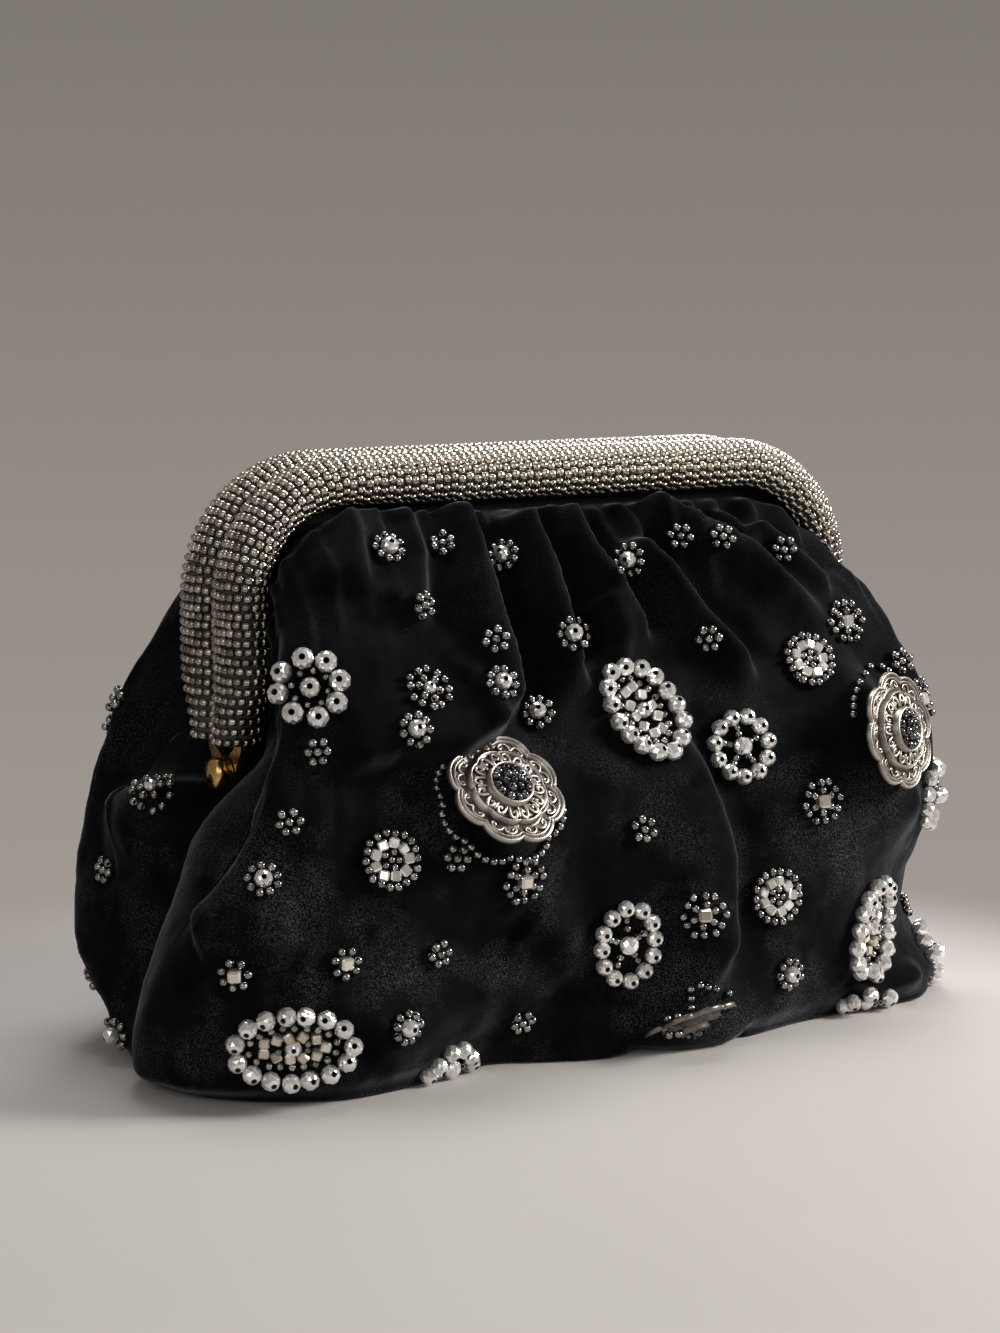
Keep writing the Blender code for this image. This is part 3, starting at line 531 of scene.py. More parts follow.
def rib(share, rear=False):
    """One rib of the front cloth from the base to the roll: four control points, and its end in the mouth."""
    turn = math.pi * share
    base_x, base_y = outline(turn, BASE_HALF_LENGTH, BASE_HALF_DEPTH)
    reach = FOOT_REACHES[round(OUTLINE_STEPS * share)]
    base = np.array([base_x * reach, min(base_y * reach, -HALF_GAP), BASE_LIFT])
    lift = SEAM_BELLY_HEIGHT + (BELLY_HEIGHT - SEAM_BELLY_HEIGHT) * math.sin(turn)
    length_share = BELLY_LENGTH_SHARE + (RIGHT_LENGTH_SHARE - BELLY_LENGTH_SHARE) * smooth(2.0 * share - 1.0)
    belly = np.array([base_x * length_share, base_y * BELLY_DEPTH_SHARE, lift])
    edge = min(share, 1.0 - share)
    side = -1.0 if share < 0.5 else 1.0
    end = smooth(edge / END_SHARE)
    held, out = mouth_point(min(max((share - END_SHARE) / (1.0 - 2.0 * END_SHARE), 0.0), 1.0))
    seam = np.array([side * SEAM_TOP_ACROSS, -HALF_GAP, HINGE_HEIGHT - SEAM_TOP_DROP])
    drop = GATHER_DOWN_TOP * out[1] + GATHER_DOWN_ARM * abs(out[0])
    gather_out = GATHER_OUT if share > 0.5 or rear else GATHER_LEFT_OUT
    gather = np.array([gather_out * out[0], -GATHER_FORWARD, -drop])
    seam_gather = np.array([side * SEAM_OUT, 0.0, -SEAM_DOWN])
    top = seam + (held - seam) * end
    into = np.array([out[0], 0.0, out[1]]) * MOUTH_REACH * smooth((edge - END_SHARE) / END_SHARE)
    return np.array([base, belly, top + seam_gather + (gather - seam_gather) * end, top]), top + into


def draw_in(points, share, rear):
    """The cloth pinched in above the right end of the base, along the left seam and under the front."""
    height = points[:, 2]
    if share > 0.5:
        centre = DRAW_CENTRE
        reach = np.where(height > WAIST_HEIGHT, WAIST_REACH_UP, WAIST_REACH_DOWN)
        amount = WAIST_SHARE * smooth((share - WAIST_START_SHARE) / WAIST_EASE_SHARE)
        pull = amount * bell(height - WAIST_HEIGHT, reach)
    else:
        centre = -DRAW_CENTRE
        from_seam = smooth(share / TUCK_SEAM_WIDTH_SHARE)
        away = TUCK_SHARE * smooth((TUCK_END_SHARE - share) / TUCK_EASE_SHARE) if rear else 0.0
        amount = TUCK_SEAM_SHARE + (away - TUCK_SEAM_SHARE) * from_seam
        width = VALLEY_WIDTH_REAR if rear else VALLEY_WIDTH_FRONT
        valley = VALLEY_SHARE * (1.0 - smooth(share / width))
        pull = np.maximum(amount * bell(height - TUCK_HEIGHT, TUCK_REACH),
                          valley * bell(height - VALLEY_HEIGHT, VALLEY_REACH))
    drawn = points.copy()
    drawn[:, 0] += (centre - points[:, 0]) * pull
    drawn[:, 1] += (-HALF_GAP - points[:, 1]) * pull
    if not rear:
        beside = bell(drawn[:, 0] - UNDERCUT_ACROSS, UNDERCUT_WIDTH, 6)
        furthest = -UNDERCUT_FOOT - UNDERCUT_SLOPE * height
        drawn[:, 1] += np.maximum(furthest - drawn[:, 1], 0.0) * beside
    return drawn


def cloth_grid(columns, rows, low=0.0, high=1.0, foot=0.0, crown=1.0, rear=False):
    """Points of the front cloth, a column for each rib, and where each column ends in the mouth."""
    t = np.linspace(foot, crown, rows + 1)[:, None]
    r = 1.0 - t
    grid, ends = [], []
    for i in range(columns + 1):
        share = low + (high - low) * i / columns
        (a, b, c, d), held = rib(share, rear)
        line = r * r * r * a + 3.0 * r * r * t * b + 3.0 * r * t * t * c + t * t * t * d
        grid.append(draw_in(line, share, rear))
        ends.append(held)
    return np.array(grid), np.array(ends)


def grid_normals(grid):
    """Outward normals of the front cloth."""
    across, up = np.gradient(grid, axis=0), np.gradient(grid, axis=1)
    normals = np.cross(across, up)
    return normals / np.maximum(np.linalg.norm(normals, axis=2, keepdims=True), 1e-12)


def grid_quads(columns, rows, start=0):
    """Faces of a grid of points, outwards on the front cloth."""
    faces = []
    for c in range(columns):
        for r in range(rows):
            a = start + c * (rows + 1) + r
            faces.append((a, a + rows + 1, a + rows + 2, a + 1))
    return faces


def closed_sheet(name, outer, thickness, look, rear=False):
    """A sheet with two faces and a rim, from a grid of points on its outer face."""
    columns, rows = outer.shape[0] - 1, outer.shape[1] - 1
    layers = [outer.copy(), outer - grid_normals(outer) * thickness]
    for layer in layers:
        layer[:, :, 1] = np.minimum(layer[:, :, 1], -OFF_MIDDLE)
        layer[:, :, 2] = np.maximum(layer[:, :, 2], OFF_FLOOR)
    points = np.concatenate([layer.reshape(-1, 3) for layer in layers])
    count = (columns + 1) * (rows + 1)
    faces = grid_quads(columns, rows) + flipped(grid_quads(columns, rows, count))
    rim = [c * (rows + 1) for c in range(columns + 1)]
    rim += [columns * (rows + 1) + r for r in range(1, rows + 1)]
    rim += [c * (rows + 1) + rows for c in range(columns - 1, -1, -1)]
    rim += [r for r in range(rows - 1, 0, -1)]
    faces += [(a, a + count, b + count, b) for a, b in zip(rim, rim[1:] + rim[:1])]
    if rear:
        points, faces = points * FRONT_TO_REAR, flipped(faces)
    return piece(name, points, faces, [look])


# Folds seen in the photograph: ridge line in pixels with the steep side on the left hand of its direction,
# then height, reach on the gentle side, reach on the steep side and overhang, in metres
FOLDS = (
    (((396, 517), (406, 566), (406, 619), (400, 649)), 0.0036, 0.014, 0.0030, 0.0008),
    (((446, 514), (459, 556), (474, 606), (492, 652), (501, 696), (484, 722), (465, 736)),
     0.0060, 0.010, 0.0028, 0.0014),
    (((507, 505), (522, 547), (541, 587), (555, 633), (566, 671), (589, 704)),
     0.0054, 0.0065, 0.0026, 0.0012),
    (((557, 512), (580, 562), (608, 595), (631, 629), (650, 663)), 0.0052, 0.0065, 0.0026, 0.0012),
    (((618, 542), (639, 568), (674, 606), (700, 634), (720, 654), (756, 695)),
     0.0050, 0.0060, 0.0026, 0.0010),
    (((634, 504), (667, 532), (690, 542), (725, 557), (769, 593), (807, 619), (833, 637)),
     0.0052, 0.0065, 0.0028, 0.0012),
    (((736, 535), (782, 570), (833, 603)), 0.0042, 0.0060, 0.0028, 0.0008),
    (((350, 520), (345, 570), (350, 610)), 0.0026, 0.0070, 0.0030, 0.0),
    (((590, 600), (615, 640), (622, 680)), 0.0026, 0.0050, 0.0024, 0.0),
    (((700, 515), (760, 548), (830, 585)), 0.0030, 0.0050, 0.0024, 0.0006),
    (((498, 707), (452, 741), (389, 740), (360, 749), (337, 751), (308, 748)), 0.0052, 0.016, 0.0036, 0.0016),
    (((640, 705), (687, 776), (710, 856), (710, 937), (681, 1000)), 0.0056, 0.022, 0.0040, 0.0016),
    (((800, 650), (850, 700), (880, 760), (905, 840)), 0.0030, 0.014, 0.0040, 0.0006),
    (((205, 935), (250, 915), (300, 925)), 0.0020, 0.012, 0.0050, 0.0),
    (((348, 1040), (420, 1000), (500, 985), (570, 1000)), 0.0022, 0.012, 0.0050, 0.0),
    (((520, 905), (560, 930), (585, 975)), 0.0022, 0.010, 0.0040, 0.0),
    (((840, 1000), (890, 985), (925, 970)), 0.0030, 0.010, 0.0040, 0.0),
)
# Folds of the rear cloth seen past the left end
REAR_FOLDS = (
    (((228, 800), (195, 802), (160, 807), (125, 812), (104, 815)), 0.0046, 0.018, 0.0044, 0.0006),
)
# Soft swellings and hollows: pixel, height and radius in metres
SWELLINGS = (
    ((330, 640), 0.0050, 0.024),
    ((300, 1010), 0.0050, 0.036),
    ((500, 858), 0.0050, 0.024),
    ((700, 1000), 0.0040, 0.020),
    ((560, 1040), -0.0030, 0.024),
    ((690, 1040), 0.0020, 0.022),
    ((470, 850), 0.0030, 0.034),
    ((620, 860), 0.0025, 0.030),
    ((820, 900), 0.0040, 0.034),
    ((480, 600), 0.0030, 0.026),
    ((700, 590), 0.0030, 0.030),
)
# Beside the right silhouette, on the front only
RIGHT_END_SWELLINGS = (
    ((925, 764), 0.0082, 0.028),
    ((925, 985), 0.0020, 0.012),
)
# The cloth lies flatter where a large motif is sewn on
CALM_PLACES = (
    (640, 712), (739, 747), (808, 660), (310, 688), (391, 860), (293, 1047), (868, 927), (776, 896),
    (626, 943), (500, 798), (884, 732),
)
CALM_RADIUS = 0.016
CALM_SHARE = 0.75

FOLD_GAIN = 1.55
STEEP_GAIN = 1.3
OVER_GAIN = 0.7
FOLD_START_SHARE = 0.12
FOLD_END_SHARE = 0.25
DIP_SHARE = 0.45
DIP_PLACE = 2.3
DIP_REACH = 1.4
LEAN_REACH = 1.2
INWARD_LIMIT = 0.0026
SAME_PLACE = 0.002

PLEAT_SPACING = 0.0072
PLEAT_HEIGHT = 0.0024
PLEAT_REACH = 0.026
PLEAT_GENTLE = PLEAT_SPACING * 0.42
PLEAT_STEEP = PLEAT_SPACING * 0.16
FIRST_PLEAT = 0.004
PLEAT_END = 0.40
WRINKLE_END = 0.41
END_EASE = 0.06
SEAM_BULGE = 0.0040
WRINKLE = 0.0009
WRINKLE_REACH = 0.060
WRINKLE_LONG = 2.6
WRINKLE_SHORT = 9.0
WRINKLE_SCALE = 9.0
WRINKLE_CREASE = 2.2
BULGE_RISE = 0.022
BULGE_REACH = 0.05
BULGE_BELOW_TOP = 0.03
# Height and scale of the lumps, from large to small
LUMPS = ((0.0010, 45.0), (0.0004, 130.0))
CRUSHED_NAP = 0.00022
CRUSHED_SCALE = 270.0
# Distances over which pleats and wrinkles start below the mouth, and over which all relief ends at the edges
PLEAT_START = 0.003
WRINKLE_START = 0.004
FOOT_CALM = 0.007
SEAM_CALM = 0.012
MOUTH_CALM = 0.006
BESIDE_EYE = 0.80


def grid_tree(grid):
    columns, rows = grid.shape[0] - 1, grid.shape[1] - 1
    return BVHTree.FromPolygons(grid.reshape(-1, 3).tolist(), grid_quads(columns, rows))


def photo_line(tree, pixels, step=12.0):
    """Points of the cloth under a line drawn in the photograph."""
    found = []
    for (ax, ay), (bx, by) in zip(pixels, pixels[1:]):
        count = max(int(math.hypot(bx - ax, by - ay) / step), 1)
        for i in range(count + 1):
            share = i / count
            ray = pixel_ray(ax + (bx - ax) * share, ay + (by - ay) * share)
            hit = tree.ray_cast(Vector(EYE), Vector(ray))[0]
            if hit is not None and (not found or (Vector(found[-1]) - hit).length > SAME_PLACE):
                found.append(tuple(hit))
    return np.array(found)


def fold(points, normals, line, height, gentle, steep, over):
    """Offsets of points for one fold along a line: a gentle rise, a ridge and a steep side that overhangs."""
    steep, over = steep * STEEP_GAIN, over * OVER_GAIN
    best = np.full(len(points), np.inf)
    signed, share_along = np.zeros(len(points)), np.zeros(len(points))
    toward = np.zeros_like(points)
    before = run_along(line)
    for k, (a, b) in enumerate(zip(line, line[1:])):
        ab = b - a
        length = np.linalg.norm(ab)
        t = np.clip(((points - a) @ ab) / (ab @ ab), 0.0, 1.0)
        away = points - (a + t[:, None] * ab)
        distance = np.linalg.norm(away, axis=1)
        nearer = distance < best
        side = np.cross(normals, ab / length)
        signed = np.where(nearer, distance * np.sign(np.einsum("ij,ij->i", away, side)), signed)
        share_along = np.where(nearer, (before[k] + t * length) / before[-1], share_along)
        toward = np.where(nearer[:, None], side, toward)
        best = np.where(nearer, distance, best)
    taper = smooth(share_along / FOLD_START_SHARE) * smooth((1.0 - share_along) / FOLD_END_SHARE)
    rise = np.where(signed < 0.0, bell(signed, gentle), bell(signed, steep))
    dip = np.where(signed > 0.0, bell(signed - DIP_PLACE * steep, DIP_REACH * steep), 0.0)
    lean = bell(signed, LEAN_REACH * steep)
    out = height * FOLD_GAIN * taper * (rise - DIP_SHARE * dip)
    return normals * out[:, None] + toward * (over * taper * lean)[:, None]


def lump(points, scale, seed):
    shift = Vector((seed * 3.1, seed * 1.7, seed * 0.9))
    return np.array([noise.noise(Vector(p) * scale + shift) for p in points])


BASE_GRID = cloth_grid(CLOTH_COLUMNS, CLOTH_ROWS)[0]
BASE_TREE = grid_tree(BASE_GRID)
FOLD_LINES = [photo_line(BASE_TREE, entry[0]) for entry in FOLDS]
REAR_BASE_TREE = grid_tree(cloth_grid(CLOTH_COLUMNS, CLOTH_ROWS, rear=True)[0] * FRONT_TO_REAR)
REAR_FOLD_LINES = [photo_line(REAR_BASE_TREE, entry[0]) * FRONT_TO_REAR for entry in REAR_FOLDS]


def base_place(pixel):
    """The place on the plain cloth under a pixel of the photograph, or the nearest to it beside the cloth."""
    ray = Vector(pixel_ray(*pixel))
    hit = BASE_TREE.ray_cast(Vector(EYE), ray)[0]
    if hit is None:
        hit = BASE_TREE.find_nearest(Vector(EYE) + ray * BESIDE_EYE)[0]
    return np.array(hit)


def fold_offsets(points, normals, mirrored, strength):
    """What the traced folds and the swellings give. mirrored sets them out the other way round in X."""
    flip = LEFT_TO_RIGHT if mirrored else 1.0
    seen, seen_normals = points * flip, normals * flip
    offset = np.zeros_like(points)
    for entry, line in zip(FOLDS, FOLD_LINES):
        offset += fold(seen, seen_normals, line, *entry[1:]) * strength
    calm = np.ones(len(points))
    for pixel in CALM_PLACES:
        distance = np.linalg.norm(seen - base_place(pixel), axis=1)
        calm = np.minimum(calm, 1.0 - CALM_SHARE * bell(distance, CALM_RADIUS, 4))
    offset *= calm[:, None]
    for pixel, height, radius in SWELLINGS + (() if mirrored else RIGHT_END_SWELLINGS):
        distance = np.linalg.norm(seen - base_place(pixel), axis=1)
        offset += seen_normals * (height * strength * bell(distance, radius))[:, None]
    offset = offset * flip
    if mirrored:
        for entry, line in zip(REAR_FOLDS, REAR_FOLD_LINES):
            offset += fold(points, normals, line, *entry[1:])
    return offset


def pleats_along(mouth, seed):
    """Height of the pleats at distances along the mouth. Each has a gentle and a steep side."""
    pick = random.Random(seed)
    pleats, place = np.zeros(len(mouth)), FIRST_PLEAT
    while place < mouth[-1]:
        gap = mouth - place
        high, wide = pick.uniform(0.5, 1.3), pick.uniform(0.9, 1.5)
        pleats += high * bell(gap, np.where(gap < 0.0, PLEAT_GENTLE, PLEAT_STEEP) * wide)
        place += PLEAT_SPACING * wide
    return pleats


def between(grid, others):
    """Distance from each point of a grid to its partner, in one row."""
    return np.linalg.norm(grid - others, axis=2).reshape(-1)


def draped_grid(mirrored, strength, seed):
    """The front cloth with its folds, pleats, lumps and wrinkles, tucked in at the foot and the mouth."""
    grid, ends = cloth_grid(CLOTH_COLUMNS, CLOTH_ROWS, rear=mirrored)
    normals = grid_normals(grid)
    points, flat = grid.reshape(-1, 3), normals.reshape(-1, 3)
    offset = fold_offsets(points, flat, mirrored, strength)
    columns, rows = grid.shape[0], grid.shape[1]
    across = np.repeat(np.arange(columns), rows) / (columns - 1.0)
    from_middle = np.abs(across - 0.5)
    top_row = grid[:, -1]
    to_top, to_foot = between(grid, top_row[:, None]), between(grid, grid[:, :1])
    to_seam = np.minimum(between(grid, grid[:1]), between(grid, grid[-1:]))
    pleats = PLEAT_HEIGHT * np.repeat(pleats_along(run_along(top_row), seed), rows)
    pleats *= smooth(to_top / PLEAT_START) * bell(to_top, PLEAT_REACH)
    pleats *= smooth((PLEAT_END - from_middle) / END_EASE)
    bulge = SEAM_BULGE * smooth(to_seam / BULGE_RISE) * bell(to_seam, BULGE_REACH)
    bulge *= smooth(to_top / BULGE_BELOW_TOP)
    lumps = CRUSHED_NAP * lump(points, CRUSHED_SCALE, seed + 4)
    for i, (height, scale) in enumerate(LUMPS):
        lumps += height * lump(points, scale, seed + i)
    run = np.stack([across * WRINKLE_LONG, to_top * WRINKLE_SHORT, np.zeros_like(across)], axis=1)
    wrinkles = WRINKLE * (1.0 - WRINKLE_CREASE * np.abs(lump(run, WRINKLE_SCALE, seed + 2)))
    wrinkles *= smooth(to_top / WRINKLE_START) * bell(to_top, WRINKLE_REACH)
    wrinkles *= smooth((WRINKLE_END - from_middle) / END_EASE)
    offset += flat * (pleats + bulge + lumps + wrinkles)[:, None]
    calm = smooth(to_foot / FOOT_CALM) * smooth(to_seam / SEAM_CALM) * smooth(to_top / MOUTH_CALM)
    offset *= calm[:, None]
    inward = np.minimum(np.einsum("ij,ij->i", offset, flat), 0.0)
    offset += flat * (INWARD_LIMIT * np.tanh(inward / INWARD_LIMIT) - inward)[:, None]
    grid = (points + offset).reshape(grid.shape)
    pad = PAD_HALF_LENGTH - UNDER_INSET, PAD_HALF_DEPTH - UNDER_INSET
    edge = [outline(turn, *pad) for turn in np.linspace(0.0, math.pi, columns)]
    edge = np.array([(x, min(y, -HALF_GAP), BASE_LIFT) for x, y in edge])
    shares = np.linspace(0.0, 1.0, UNDER_ROWS, endpoint=False)[None, :, None]
    under = edge[:, None] * (1.0 - shares) + grid[:, :1] * shares
    return np.concatenate([under, grid, ((top_row + ends) / 2.0)[:, None], ends[:, None]], axis=1)


def follow_cloth(made):
    """The cloth's placement is baked into its mesh."""
    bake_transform(made)


def follow_place(made, half, at):
    """A stiff piece on the cloth goes with the pouch when its middle is low and with its half of the frame
    when high; in between it is baked in place.
    """
    share = (at[2] - FOLLOW_FROM) / (FOLLOW_TO - FOLLOW_FROM)
    if share <= 0.0 or share >= 1.0:
        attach(made, "pouch" if share <= 0.0 else f"{half}_frame")
        return
    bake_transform(made)


CLOTH_TREES = {}
for half, mirrored, strength, seed in (("front", False, 1.0, 3), ("rear", True, 0.85, 11)):
    grid = draped_grid(mirrored, strength, seed)
    made = closed_sheet(f"velvet_panel_{half}", grid, VELVET_THICKNESS, "velvet", mirrored)
    stand_for(made, "velvet", f"velvet_{half}_lower", f"velvet_{half}_upper")
    follow_cloth(made)
    quads = grid_quads(grid.shape[0] - 1, grid.shape[1] - 1)
    outer = (grid.reshape(-1, 3) * (FRONT_TO_REAR if mirrored else 1.0)).tolist()
    CLOTH_TREES[half] = BVHTree.FromPolygons(outer, flipped(quads) if mirrored else quads)


# Lining and pocket

LINING_COLUMNS = 150
LINING_ROWS = 70
# From the left to the right seam, and from the foot up
LINING_SPAN = (0.015, 0.985, 0.02)
LINING_WAVE = 0.0008
LINING_WAVE_SCALE = 60.0
LINING_WAVE_START = 0.020
LINING_RISE = 0.0022
LINING_RISE_REACH = 0.012
POCKET_COLUMNS = 40
POCKET_ROWS = 30
POCKET_SPAN = (0.36, 0.64, 0.22, 0.56)
POCKET_SAG = 0.0020
POCKET_DROP = 0.0016
POCKET_HEM = 0.0004
POCKET_HEM_SHARE = 0.9

for half, seed in (("front", 5), ("rear", 9)):
    rear = half == "rear"
    grid = cloth_grid(LINING_COLUMNS, LINING_ROWS, *LINING_SPAN, rear=rear)[0]
    near_top = between(grid, grid[:, -1:])
    drop = LINING_DROP - LINING_RISE * (1.0 - smooth(near_top / LINING_RISE_REACH))
    wave = LINING_WAVE * lump(grid.reshape(-1, 3), LINING_WAVE_SCALE, seed)
    drop += wave * smooth(near_top / LINING_WAVE_START)
    grid = grid - grid_normals(grid) * drop.reshape(grid.shape[:2])[:, :, None]
    made = closed_sheet(f"lining_panel_{half}", grid, LINING_THICKNESS, "lining", rear)
    stand_for(made, "lining", f"lining_{half}_lower", f"lining_{half}_upper")
    follow_cloth(made)

grid = cloth_grid(POCKET_COLUMNS, POCKET_ROWS, *POCKET_SPAN)[0]
up = np.linspace(0.0, 1.0, POCKET_ROWS + 1)[None]
sag = POCKET_SAG * np.sin(np.linspace(0.0, math.pi, POCKET_COLUMNS + 1))[:, None] * up
drop = LINING_DROP + POCKET_DROP + sag + POCKET_HEM * (up > POCKET_HEM_SHARE)
grid = grid - grid_normals(grid) * drop[:, :, None]
made = closed_sheet("pocket_panel", grid, LINING_THICKNESS, "lining", True)
stand_for(made, "lining", "slip_pocket")
follow_cloth(made)


# Base

# Share of the outline and share of the height
PAD_RINGS = ((0.0, 0.0), (0.35, 0.0), (0.7, 0.0), (0.93, 0.0), (0.985, 0.12), (1.0, 0.5), (0.985, 0.88),
             (0.93, 1.0), (0.7, 1.0), (0.35, 1.0), (0.0, 1.0))
PAD_SIDES = 96
PAD_DIMPLE = 0.0001


def oval_pad(name, length, depth, low, high, look):
    """A flat oval of cloth with a rounded edge and a slightly uneven face."""
    points = []
    for share, up in PAD_RINGS:
        for turn in turns_round(PAD_SIDES):
            x, y = outline(turn, length, depth)
            y = math.copysign(y, -math.sin(turn))
            z = low + (high - low) * up
            if up == 1.0:
                z -= PAD_DIMPLE * (1.0 + noise.noise(Vector((x * 60.0, y * 60.0, 1.0))))
            points.append((x * share, y * share, z))
    return piece(name, points, ring_quads(len(PAD_RINGS), PAD_SIDES, inward=True), [look])


made = oval_pad("velvet_base_pad", PAD_HALF_LENGTH, PAD_HALF_DEPTH, 0.0, PAD_THICKNESS, "velvet")
stand_for(made, "velvet", "velvet_base")
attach(made, "pouch")
lo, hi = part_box("lining_base")
made = oval_pad("lining_base_pad", hi[0], hi[1], lo[2], hi[2], "lining")
stand_for(made, "lining", "lining_base")
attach(made, "pouch")


# Beaded rolls

BEND = FRAME_HALF_SPAN - CORNER_RADIUS
SPRING = FRAME_TOP - CORNER_RADIUS
ARM_LENGTH = SPRING - ROLL_FOOT
CORNER_LENGTH = math.pi / 2.0 * CORNER_RADIUS
ROLL_LENGTH = 2.0 * (ARM_LENGTH + CORNER_LENGTH + BEND)
FOOT_PITCH = 0.0030
CORNER_PITCH = 0.0023
TOP_PITCH = 0.0024
BEAD_LENGTH = 0.00245
BEAD_RADIUS = 0.00118
MOUTH_TURN = 0.30
ROW_TURNS = np.linspace(math.pi + MOUTH_TURN, 3.0 * math.pi - MOUTH_TURN, 200)
ROW_SHIFT = 0.12
HOOP_STEP = 0.03
BEAD_JITTER = 0.00016
# Share of the gap between rows that a bead's radius may take
BEAD_ROOM = 0.52
BEAD_WIDTHS = (0.95, 1.03)
BEAD_LENGTHS = (0.90, 0.97)
BEAD_LEAN = 0.10
# Mean and spread of the brightness, and the painted light that the top of the roll adds at its left end and,
# more, to the right
BEAD_TONE = (0.34, 0.18)
TOP_PAINTED_LIGHT = (0.46, 0.34)
TOP_PAINTED_LIGHT_FROM = -0.06
TOP_PAINTED_LIGHT_OVER = 0.10
ROLL_SKIN = 0.0016
ROLL_MOUTH_DENT = 0.0022
ROLL_SIDES = 32
ROLL_STEPS = 150
ROLL_END = 0.002
# Distance from the foot and share of the full section, where the fabric closes
ROLL_FOOT_SHARES = ((0.0, 0.25), (0.0, 0.62), (0.0002, 0.85), (0.0008, 0.97))


def roll_station(along):
    """(x, z, outward x, outward z) on the middle line of the roll, by distance from the left foot."""
    from_foot = min(along, ROLL_LENGTH - along)
    if from_foot < ARM_LENGTH:
        x, z, out = -FRAME_HALF_SPAN, ROLL_FOOT + from_foot, (-1.0, 0.0)
    elif from_foot < ARM_LENGTH + CORNER_LENGTH:
        turn = (from_foot - ARM_LENGTH) / CORNER_RADIUS
        out = (-math.cos(turn), math.sin(turn))
        x, z = -BEND + CORNER_RADIUS * out[0], SPRING + CORNER_RADIUS * out[1]
    else:
        x, z, out = -BEND + (from_foot - ARM_LENGTH - CORNER_LENGTH), FRAME_TOP, (0.0, 1.0)
    if along > ROLL_LENGTH / 2.0:
        x, out = -x, (-out[0], out[1])
    return x, z, out[0], out[1]


def section_point(along, turn, shrink, taper=1.0):
    """A point on the roll's section: turn 0 faces outward and grows towards the front."""
    x, z, ox, oz = roll_station(along)
    depth = half_depth(z)
    wide, deep = (ROLL_HALF_HEIGHT - shrink) * taper, (depth - shrink) * taper
    out = wide * math.cos(turn)
    return np.array([x + ox * out, -(depth + HALF_GAP) - deep * math.sin(turn), z + oz * out])


def row_places():
    """Distances of the bead rows along the roll."""
    places, along = [], FOOT_PITCH * 0.5
    while along < ROLL_LENGTH - FOOT_PITCH * 0.4:
        places.append(along)
        from_foot = min(along, ROLL_LENGTH - along)
        near_corner = smooth(from_foot / ARM_LENGTH)
        pitch = FOOT_PITCH + (CORNER_PITCH - FOOT_PITCH) * near_corner
        pitch += (TOP_PITCH - CORNER_PITCH) * smooth((from_foot - ARM_LENGTH - CORNER_LENGTH) / 0.02)
        along += pitch
    return places


def roll_row(pile, along, shift, gap_before, flip):
    """One row of seed beads round the roll, turned on by a share of a bead."""
    run = run_along([section_point(along, turn, BEAD_RADIUS) for turn in ROW_TURNS])
    count = int(run[-1] / BEAD_LENGTH)
    step = run[-1] / count
    x, z, _, oz = roll_station(along)
    centre = np.array([x, -(half_depth(z) + HALF_GAP), z])
    in_corner = ARM_LENGTH < min(along, ROLL_LENGTH - along) < ARM_LENGTH + CORNER_LENGTH
    bend = (ROLL_HALF_HEIGHT - BEAD_RADIUS) / CORNER_RADIUS if in_corner else 0.0
    # Painted light: beads on top of the roll are lighter, and more so towards the right
    painted_light_to_right = smooth((x - TOP_PAINTED_LIGHT_FROM) / TOP_PAINTED_LIGHT_OVER)
    painted_light = (TOP_PAINTED_LIGHT[0] + TOP_PAINTED_LIGHT[1] * painted_light_to_right) * max(oz, 0.0)
    for i in range(count):
        turn = float(np.interp((i + 0.25 + 0.5 * shift) * step, run, ROW_TURNS))
        at = section_point(along + RANDOM.uniform(-BEAD_JITTER, BEAD_JITTER), turn, BEAD_RADIUS)
        ahead, behind = (section_point(along, turn + way, BEAD_RADIUS) for way in (HOOP_STEP, -HOOP_STEP))
        hoop = unit(ahead - behind)
        outward = unit(at - centre)
        outward = unit(outward - hoop * float(outward @ hoop))
        room = BEAD_ROOM * gap_before * (1.0 + bend * math.cos(turn))
        radius = min(BEAD_RADIUS, room) * RANDOM.uniform(*BEAD_WIDTHS)
        hoop = unit(hoop + np.cross(outward, hoop) * RANDOM.uniform(-BEAD_LEAN, BEAD_LEAN))
        axes = np.array([np.cross(outward, hoop), outward, hoop]) * flip
        size = np.array([radius, radius, 0.5 * step * RANDOM.uniform(*BEAD_LENGTHS)])
        pile.add(BARREL, at * flip, axes, size, RANDOM.gauss(*BEAD_TONE) + painted_light)


def roll_beads(half, rear):
    """Rows of seed beads round one half of the frame, parted as the CAD rolls are."""
    flip = FRONT_TO_REAR if rear else np.ones(3)
    middle = ARM_LENGTH + CORNER_LENGTH / 2.0
    piles = {"left": Pile(), "top": Pile(), "right": Pile()}
    before = -FOOT_PITCH * 0.5
    for k, along in enumerate(row_places()):
        place = "left" if along < middle else "right" if along > ROLL_LENGTH - middle else "top"
        shift = 0.5 * (k % 2) + RANDOM.uniform(-ROW_SHIFT, ROW_SHIFT)
        roll_row(piles[place], along, shift, along - before, flip)
        before = along
    for place, pile in piles.items():
        if rear:
            pile.faces = flipped(pile.faces)
        made = pile.build(f"bead_rows_{half}_{place}", ["roll_seeds"])
        stand_for(made, "seed_beads", f"bead_roll_{half}_{place}")
        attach(made, f"{half}_frame")


